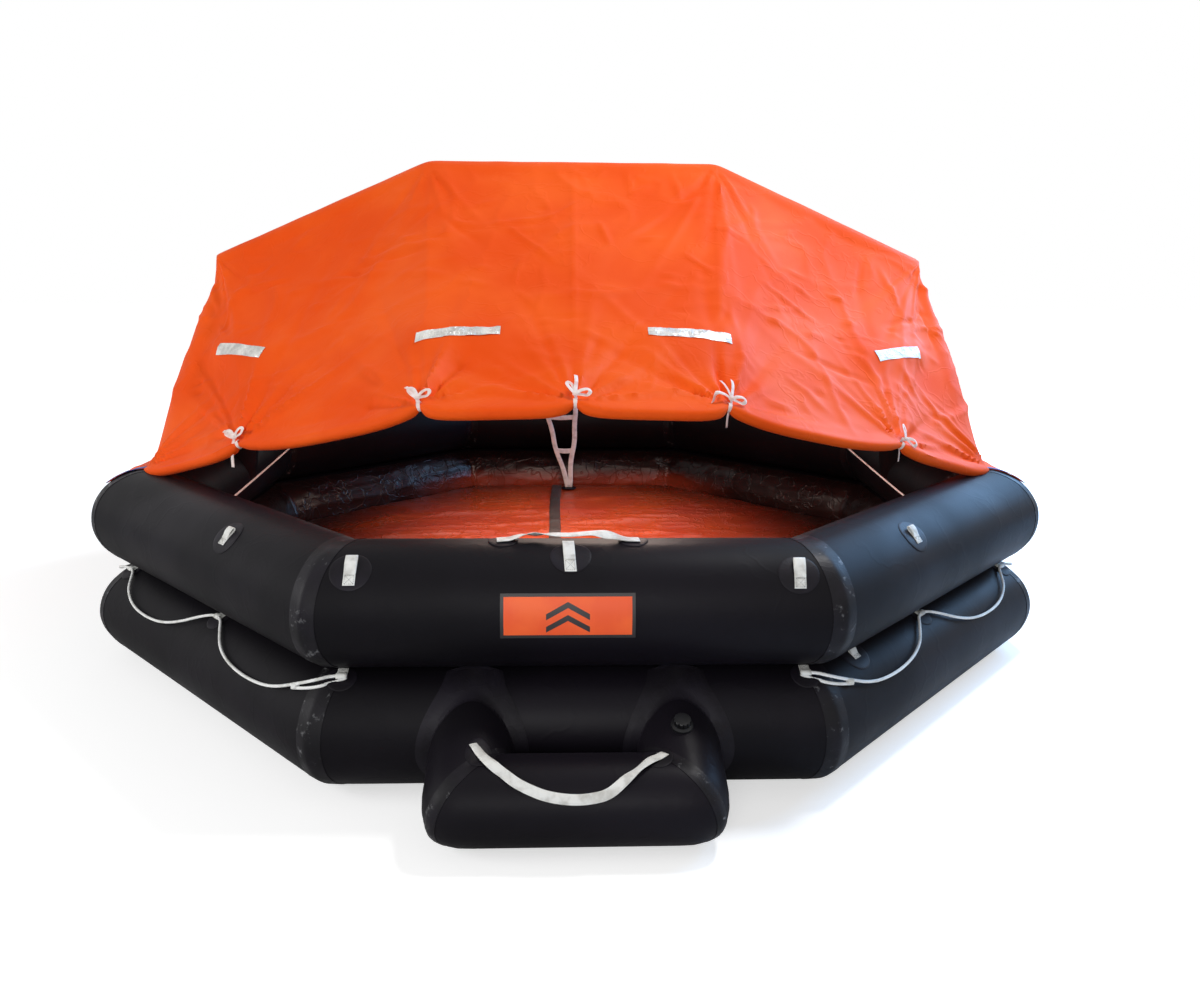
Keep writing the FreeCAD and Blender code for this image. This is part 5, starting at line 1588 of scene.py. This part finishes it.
def tie_knot(name, spot):
    deselect()
    bpy.ops.mesh.primitive_ico_sphere_add(subdivisions=2, radius=0.008, location=tuple(spot))
    knot = bpy.context.object
    knot.scale = (1.25, 0.8, 0.9)
    bpy.ops.object.transform_apply(location=True, rotation=True, scale=True)
    knot.name = name
    smooth(knot)
    return knot


def tie_tapes(name, front):
    """At each tie the loops and ends of a bow, its knot, and the turn round the rolled curtain."""
    pieces, hand = [], 1 if front else -1
    for place, tapes in TIES.items():
        at = place * hand
        spot = hem_at(at, front)
        up = unit(ridge_at(at, RIDGE_OUT, -RIDGE_HALF * hand) - spot)
        along = unit(hem_at(at + 0.1, front) - hem_at(at - 0.1, front)) * hand
        along = unit(along - up * (along @ up))
        out = np.cross(along, up)
        knot_spot = spot + up * 0.020 + out * 0.018
        hanging = np.array((0, 0, 1.0))
        for tape in tapes:
            line = []
            for right, rise, lift in BOWS[tape]:
                raised = hanging if rise < 0 else up
                line.append(knot_spot + along * right + raised * rise + out * lift)
            line = rounded_line(line, 0.004)
            facing = np.cross(unit(np.gradient(line, axis=0)), out + 0.35 * along)
            pieces.append(strap(f"tape_{place}_{tape}", line, facing, TIE_WIDE, 0.0008, across=3))
        turns = np.linspace(0, 2 * math.pi, 25)
        loop = np.array([spot + (out * math.cos(turn) + up * math.sin(turn)) * 0.0155 for turn in turns])
        pieces.append(strap(f"tape_turn_{place}", loop, [along] * len(loop), TIE_WIDE, 0.0012, across=3))
        pieces.append(tie_knot(f"tape_knot_{place}", knot_spot + out * 0.005))
    finish_piece(join(name, pieces), tie_tape, [name.replace("tapes", "ties")])


tie_tapes("front_door_tapes", True)
tie_tapes("rear_door_tapes", False)


# ---------------------------------------------------------------- grab lines and lifelines

# each point: side, mm along it, angle round the lower tube, mm from its centre line
GRAB_LINE = [
    (0, 674, 64, 201), (0, 716, 64, 202), (0, 750, 59, 210), (1, -672, 48, 206), (1, -560, 34, 204),
    (1, -430, 30, 204), (1, -300, 32, 204), (1, -200, 40, 204), (1, -130, 54, 203), (1, -76, 64, 201),
    (1, -24, 64, 201), (1, 30, 55, 203), (1, 115, 41, 204), (1, 220, 32, 204), (1, 350, 29, 204),
    (1, 475, 32, 204), (1, 570, 43, 204), (1, 625, 57, 203), (1, 664, 64, 201), (1, 716, 64, 202),
    (1, 752, 59, 210), (2, -672, 48, 206), (2, -570, 38, 204), (2, -450, 32, 204), (2, -320, 30, 204),
    (2, -200, 35, 204), (2, -125, 47, 203), (2, -76, 59, 202), (2, -26, 64, 201)]
GRAB_LINE = GRAB_LINE + [(4 - side, -along, angle, reach) for side, along, angle, reach in GRAB_LINE[::-1]]
LIFELINE_ENDS = [(1, 0.339, 149), (3, -0.410, 134)]
LIFELINE_THICK = 0.008


def spline_points(name, places, resolution):
    """The line of a NURBS curve with the given control points."""
    curve = bpy.data.curves.new(f"{name}_route", "CURVE")
    curve.dimensions = "3D"
    curve.resolution_u = resolution
    spline = curve.splines.new("NURBS")
    spline.points.add(len(places) - 1)
    for point, place in zip(spline.points, places):
        point.co = (*place, 1)
    spline.order_u = 3
    spline.use_endpoint_u = True
    holder = bpy.data.objects.new(f"{name}_route", curve)
    bpy.context.scene.collection.objects.link(holder)
    mesh = bpy.data.meshes.new_from_object(holder.evaluated_get(bpy.context.evaluated_depsgraph_get()))
    points = np.array([vertex.co for vertex in mesh.vertices])
    bpy.data.objects.remove(holder)
    bpy.data.meshes.remove(mesh)
    return points


def skin_round(line, sides, ups, radius, turns):
    """Rings of points round each point of a line."""
    return line[:, None] + radius[..., None] * (np.cos(turns)[None, :, None] * sides[:, None]
                                                + np.sin(turns)[None, :, None] * ups[:, None])


def laid_rope(name, line, diameter, lobes=3, turn_length=0.042):
    """A rope of twisted strands along a line of points."""
    runs = unit(np.gradient(line, axis=0))
    lengths = lengths_along(line)
    # carry one direction along the line without letting it twist
    side = unit(np.cross(runs[0], (0.0, 0.0, 1.0)))
    sides = []
    for run in runs:
        side = unit(side - run * (side @ run))
        sides.append(side)
    sides = np.array(sides)
    ups = np.cross(runs, sides)
    turns = np.arange(18) * 2 * math.pi / 18
    lay = 2 * math.pi * lengths / turn_length
    swell = 1 - 0.16 * (1 - np.abs(np.cos((turns[None] - lay[:, None]) * lobes / 2)) ** 0.7)
    return tube_piece(name, skin_round(line, sides, ups, diameter / 2 * swell, turns), False)


def ring_spots(route, hand):
    spots = [ring_point(side, along / 1000, angle, reach / 1000, LOWER)
             for side, along, angle, reach in route]
    return [(spot.x * hand, spot.y, spot.z) for spot in spots]


def whipping(name, line, start, end, diameter):
    """Tight turns of thread round a rope between two lengths from its beginning."""
    lengths = lengths_along(line)
    spots = np.arange(start, end, 0.0006)
    centre = np.column_stack([np.interp(spots, lengths, line[:, axis]) for axis in range(3)])
    runs = unit(np.gradient(centre, axis=0))
    side = unit(np.cross(runs, (0.0, 0.0, 1.0)))
    up = np.cross(runs, side)
    turns = np.arange(20) * 2 * math.pi / 20
    radius = diameter / 2 * (1 + 0.05 * np.sin(2 * math.pi * (spots - start) / 0.0024))
    radius = radius * np.minimum(1, 0.72 + (np.minimum(spots - start, end - spots) / 0.0015) * 0.28)
    return tube_piece(name, skin_round(centre, side, up, radius[:, None], turns), False)


SPLICE_LONG = 0.19
SPLICE_WHIPPED = (0.162, 0.182)


def splice(name, points):
    """The rope's own end brought back beside it, from the becket to the whipping."""
    runs = unit(np.gradient(points, axis=0))
    lengths = lengths_along(points)
    count = int(np.searchsorted(lengths, SPLICE_LONG))
    outward = unit(points[:count] * (1, 1, 0))
    below = unit(np.cross(runs[:count], outward))
    below = below * np.where(below[:, 2:] > 0, -1, 1)
    share = lengths[:count] / SPLICE_LONG
    bowed = np.sin(math.pi * np.clip(share, 0, 1) ** 0.8)
    gap = 0.0045 + 0.0045 * np.clip(share / 0.15, 0, 1) + 0.012 * bowed
    back = points[:count] + below * gap[:, None] + outward * 0.002
    between = points[:count] + below * gap[:, None] / 2
    return [laid_rope(f"eye_{name}", back, ROPE_THICK, turn_length=0.030),
            whipping(f"whip_{name}", between, *SPLICE_WHIPPED, ROPE_THICK * 2.0)]


def grab_line(hand):
    name = "right" if hand > 0 else "left"
    places = ring_spots(GRAB_LINE, hand)
    line = spline_points(f"grab_line_{name}", places, 20)
    rope = laid_rope(f"grab_rope_{name}", line, ROPE_THICK)
    finish_piece(rope, white_rope, [f"grab_line_{name}"])
    splices = join(f"grab_line_splices_{name}",
                   splice(f"{name}_front", line) + splice(f"{name}_rear", line[::-1]))
    finish_piece(splices, white_rope)
    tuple(places[0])


def lifeline(hand):
    name = "right" if hand > 0 else "left"
    reach = SKIN + 0.002 + LIFELINE_THICK / 2
    ends = [ring_point(side, along, angle, reach, UPPER) for side, along, angle in LIFELINE_ENDS]
    ends = [Vector((spot.x * hand, spot.y, spot.z)) for spot in ends]
    droop = (ends[0] + ends[1]) / 2 - Vector((0, 0, 0.014))
    line = spline_points(f"lifeline_{name}", [tuple(ends[0]), tuple(droop), tuple(ends[1])], 420)
    rope = laid_rope(f"lifeline_rope_{name}", line, LIFELINE_THICK)
    finish_piece(rope, white_rope, [f"lifeline_{name}"])
    tuple(ends[0])


for hand in (1, -1):
    grab_line(hand)
    lifeline(hand)


def lifeline_roots():
    """Rubber patches with a strap that holds each end of a lifeline."""
    patches, straps, threads = [], [], []
    for hand in (1, -1):
        for index, (side, along, angle) in enumerate(LIFELINE_ENDS):
            place = ring_place(side if hand > 0 else -side % SIDES, along * hand, angle, UPPER)
            patches.append(round_patch(f"lifeline_patch_{hand}_{index}", place, 0.040))
            path = [(-0.026, LAYER), (-0.010, LAYER), (-0.006, 0.008), (0.0, 0.0118), (0.006, 0.008),
                    (0.010, LAYER), (0.026, LAYER)]
            straps.append(folded_strap(f"lifeline_strap_{hand}_{index}", place, path, 0.028))
            for low, high in ((-0.024, -0.012), (0.012, 0.024)):
                threads.append(stitches(f"lifeline_thread_{hand}_{index}_{low}", place,
                                        box_stitching(-0.010, low, 0.010, high), LAYER + 0.001))
    finish_piece(join("lifeline_rubber_patches", patches), patch_rubber, ["lifeline_patches"])
    finish_piece(join("lifeline_root_straps", straps), white_webbing)
    finish_piece(join("lifeline_root_stitching", threads), stitch_thread)


lifeline_roots()


# ---------------------------------------------------------------- collars of the ramp's legs

COLLAR_RADIUS, COLLAR_TURNS = 0.165, 72


def leg_collars():
    """Rubber collars where the ramp's legs meet the lower tube, each with a soft rim."""
    pieces = []
    cosine, sine = math.cos(RAMP_SLOPE), math.sin(RAMP_SLOPE)
    for hand in (-1, 1):
        rows = []
        for share in (-0.03, 0.0, 0.25, 0.5, 0.75, 0.95, 1.0):
            reach = RAMP_RADIUS - 0.001 + (COLLAR_RADIUS - RAMP_RADIUS) * max(share, 0)
            row = []
            for turn in np.arange(COLLAR_TURNS) * 2 * math.pi / COLLAR_TURNS:
                x = hand * RAMP_HALF + reach * math.cos(turn)
                z = reach * math.sin(turn)
                # run along the leg's direction until the lower tube's skin is met
                start = np.array(ramp_spot(x, 0, z))
                across, height = start[1] + APOTHEM, start[2] - LOWER
                along = across * cosine + height * sine
                skin = SKIN + (0.0032 if share < 0.9 else 0.0012)
                root = along ** 2 - (across ** 2 + height ** 2 - skin ** 2)
                far = -along - math.sqrt(max(root, 0))
                spot = start + far * np.array((0, cosine, sine))
                if share < 0:
                    spot = spot - 0.012 * np.array((0, cosine, sine))
                row.append(spot)
            rows.append(row)
        grid = np.array(rows)
        grid[..., 2] = np.maximum(grid[..., 2], 0.002)
        piece = mesh_piece(f"collar_{hand}", grid.reshape(-1, 3),
                           grid_faces(len(rows), COLLAR_TURNS, close_columns=True))
        recalculate(piece)
        modify(piece, "SOLIDIFY", thickness=0.0022, offset=0)
        smooth(piece)
        pieces.append(piece)
    finish_piece(join("leg_rubber_collars", pieces), patch_rubber, ["ramp_collars"])


leg_collars()


# ---------------------------------------------------------------- finishes of the pieces kept from the frame

KEPT = {
    "floor_fabric": skirt_cloth, "gas_cylinder": grey_paint, "operating_head": brass_metal,
    "cylinder_bands": white_webbing, "inflation_inlets": bright_metal,
}
for name in ("lower_tube", "upper_tube", "floor", "ramp"):
    KEPT[f"{name}_valve"] = black_plastic
    KEPT[f"{name}_valve_cap"] = black_plastic
for name, material in KEPT.items():
    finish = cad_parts[name].data.materials
    finish.clear()
    finish.append(material)


# ---------------------------------------------------------------- camera, floor and light

def place_camera():
    data = bpy.data.cameras.new("camera")
    data.sensor_width = 36
    data.lens = 28.43
    data.shift_y = -0.0408
    holder = bpy.data.objects.new("camera", data)
    heading, pitch, roll = math.radians(2.09), math.radians(-11.19), math.radians(0.47)
    forward = Vector((math.sin(heading) * math.cos(pitch), math.cos(heading) * math.cos(pitch),
                      math.sin(pitch)))
    holder.rotation_mode = "QUATERNION"
    holder.rotation_quaternion = forward.to_track_quat("-Z", "Y")
    holder.location = (-0.029, -4.410, 1.570)
    bpy.context.scene.collection.objects.link(holder)
    holder.rotation_quaternion = holder.rotation_quaternion @ Quaternion((0, 0, 1), roll)
    bpy.context.scene.camera = holder


place_camera()


def soft_light(name, place, aim, size, power, colour):
    data = bpy.data.lights.new(name, "AREA")
    data.shape = "DISK"
    data.size = size
    data.energy = power
    data.color = colour
    holder = bpy.data.objects.new(name, data)
    holder.location = place
    holder.rotation_mode = "QUATERNION"
    holder.rotation_quaternion = (Vector(aim) - Vector(place)).to_track_quat("-Z", "Y")
    bpy.context.scene.collection.objects.link(holder)


soft_light("key", (2.3, -0.6, 5.4), (0, -0.3, 0.8), 0.9, 140, (1.0, 0.985, 0.97))
soft_light("sky_right", (5.0, 1.8, 3.6), (1.2, -0.6, 0.9), 4.5, 450, (0.25, 0.55, 1.0))
soft_light("fill_left", (-5.5, -3.0, 2.6), (-0.8, 0, 0.5), 3.0, 125, (1.0, 1.0, 1.0))
soft_light("fill_front", (-0.6, -6.5, 2.2), (0, 0.4, 0.4), 2.4, 90, (1.0, 1.0, 1.0))
# what the cloth lets through
soft_light("through_canopy", (0.05, -0.25, 1.35), (0.05, -0.4, 0.3), 0.9, 24, (1.0, 0.80, 0.70))


def pale_floor():
    """A white ground that keeps soft shadows."""
    deselect()
    bpy.ops.mesh.primitive_plane_add(size=60, location=(0, 0, -0.0005))
    ground = bpy.context.object
    ground.name = "ground"
    material, tree, shader = blank_material("pale_ground")
    shader.inputs["Base Color"].default_value = (0.8, 0.8, 0.8, 1)
    shader.inputs["Roughness"].default_value = 1.0
    shader.inputs["Specular IOR Level"].default_value = 0.0
    where = object_place(tree)
    far = wired(tree, "ShaderNodeVectorMath", [(0, where)], operation="LENGTH")
    strength = spread(tree, far.outputs["Value"], 2.3, 5.0, 0.54, 0.86)
    glow = wired(tree, "ShaderNodeEmission", [("Strength", strength)], Color=(1, 1, 1, 1))
    both = wired(tree, "ShaderNodeAddShader", [(0, shader.outputs[0]), (1, glow.outputs[0])])
    seen = tree.nodes.new("ShaderNodeLightPath").outputs["Is Camera Ray"]
    pick = wired(tree, "ShaderNodeMixShader", [(0, seen), (1, shader.outputs[0]), (2, both.outputs[0])])
    tree.links.new(pick.outputs[0], tree.nodes["Material Output"].inputs["Surface"])
    ground.data.materials.append(material)
    ground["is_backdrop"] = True


pale_floor()


def white_world():
    """White where the camera, gloss or clear things see it, and dimmer as a light."""
    world = bpy.data.worlds.new("white")
    bpy.context.scene.world = world
    world.use_nodes = True
    tree = world.node_tree
    tree.nodes.clear()
    path = tree.nodes.new("ShaderNodeLightPath")
    bright = path.outputs["Is Camera Ray"]
    for ray in ("Is Glossy Ray", "Is Transmission Ray"):
        bright = wired(tree, "ShaderNodeMath", [(0, bright), (1, path.outputs[ray])],
                       operation="MAXIMUM").outputs[0]
    level = wired(tree, "ShaderNodeMapRange", [("Value", bright)])
    level.inputs["To Min"].default_value = 0.26
    level.inputs["To Max"].default_value = 1.0
    sky = wired(tree, "ShaderNodeBackground", [("Strength", level.outputs["Result"])], Color=(1, 1, 1, 1))
    out = tree.nodes.new("ShaderNodeOutputWorld")
    tree.links.new(sky.outputs[0], out.inputs["Surface"])


white_world()

bpy.context.scene.view_settings.view_transform = "Standard"

sizes = {name: [list(corner) for corner in corners] for name, corners in (("cad", cad_box), ("scene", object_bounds()))}
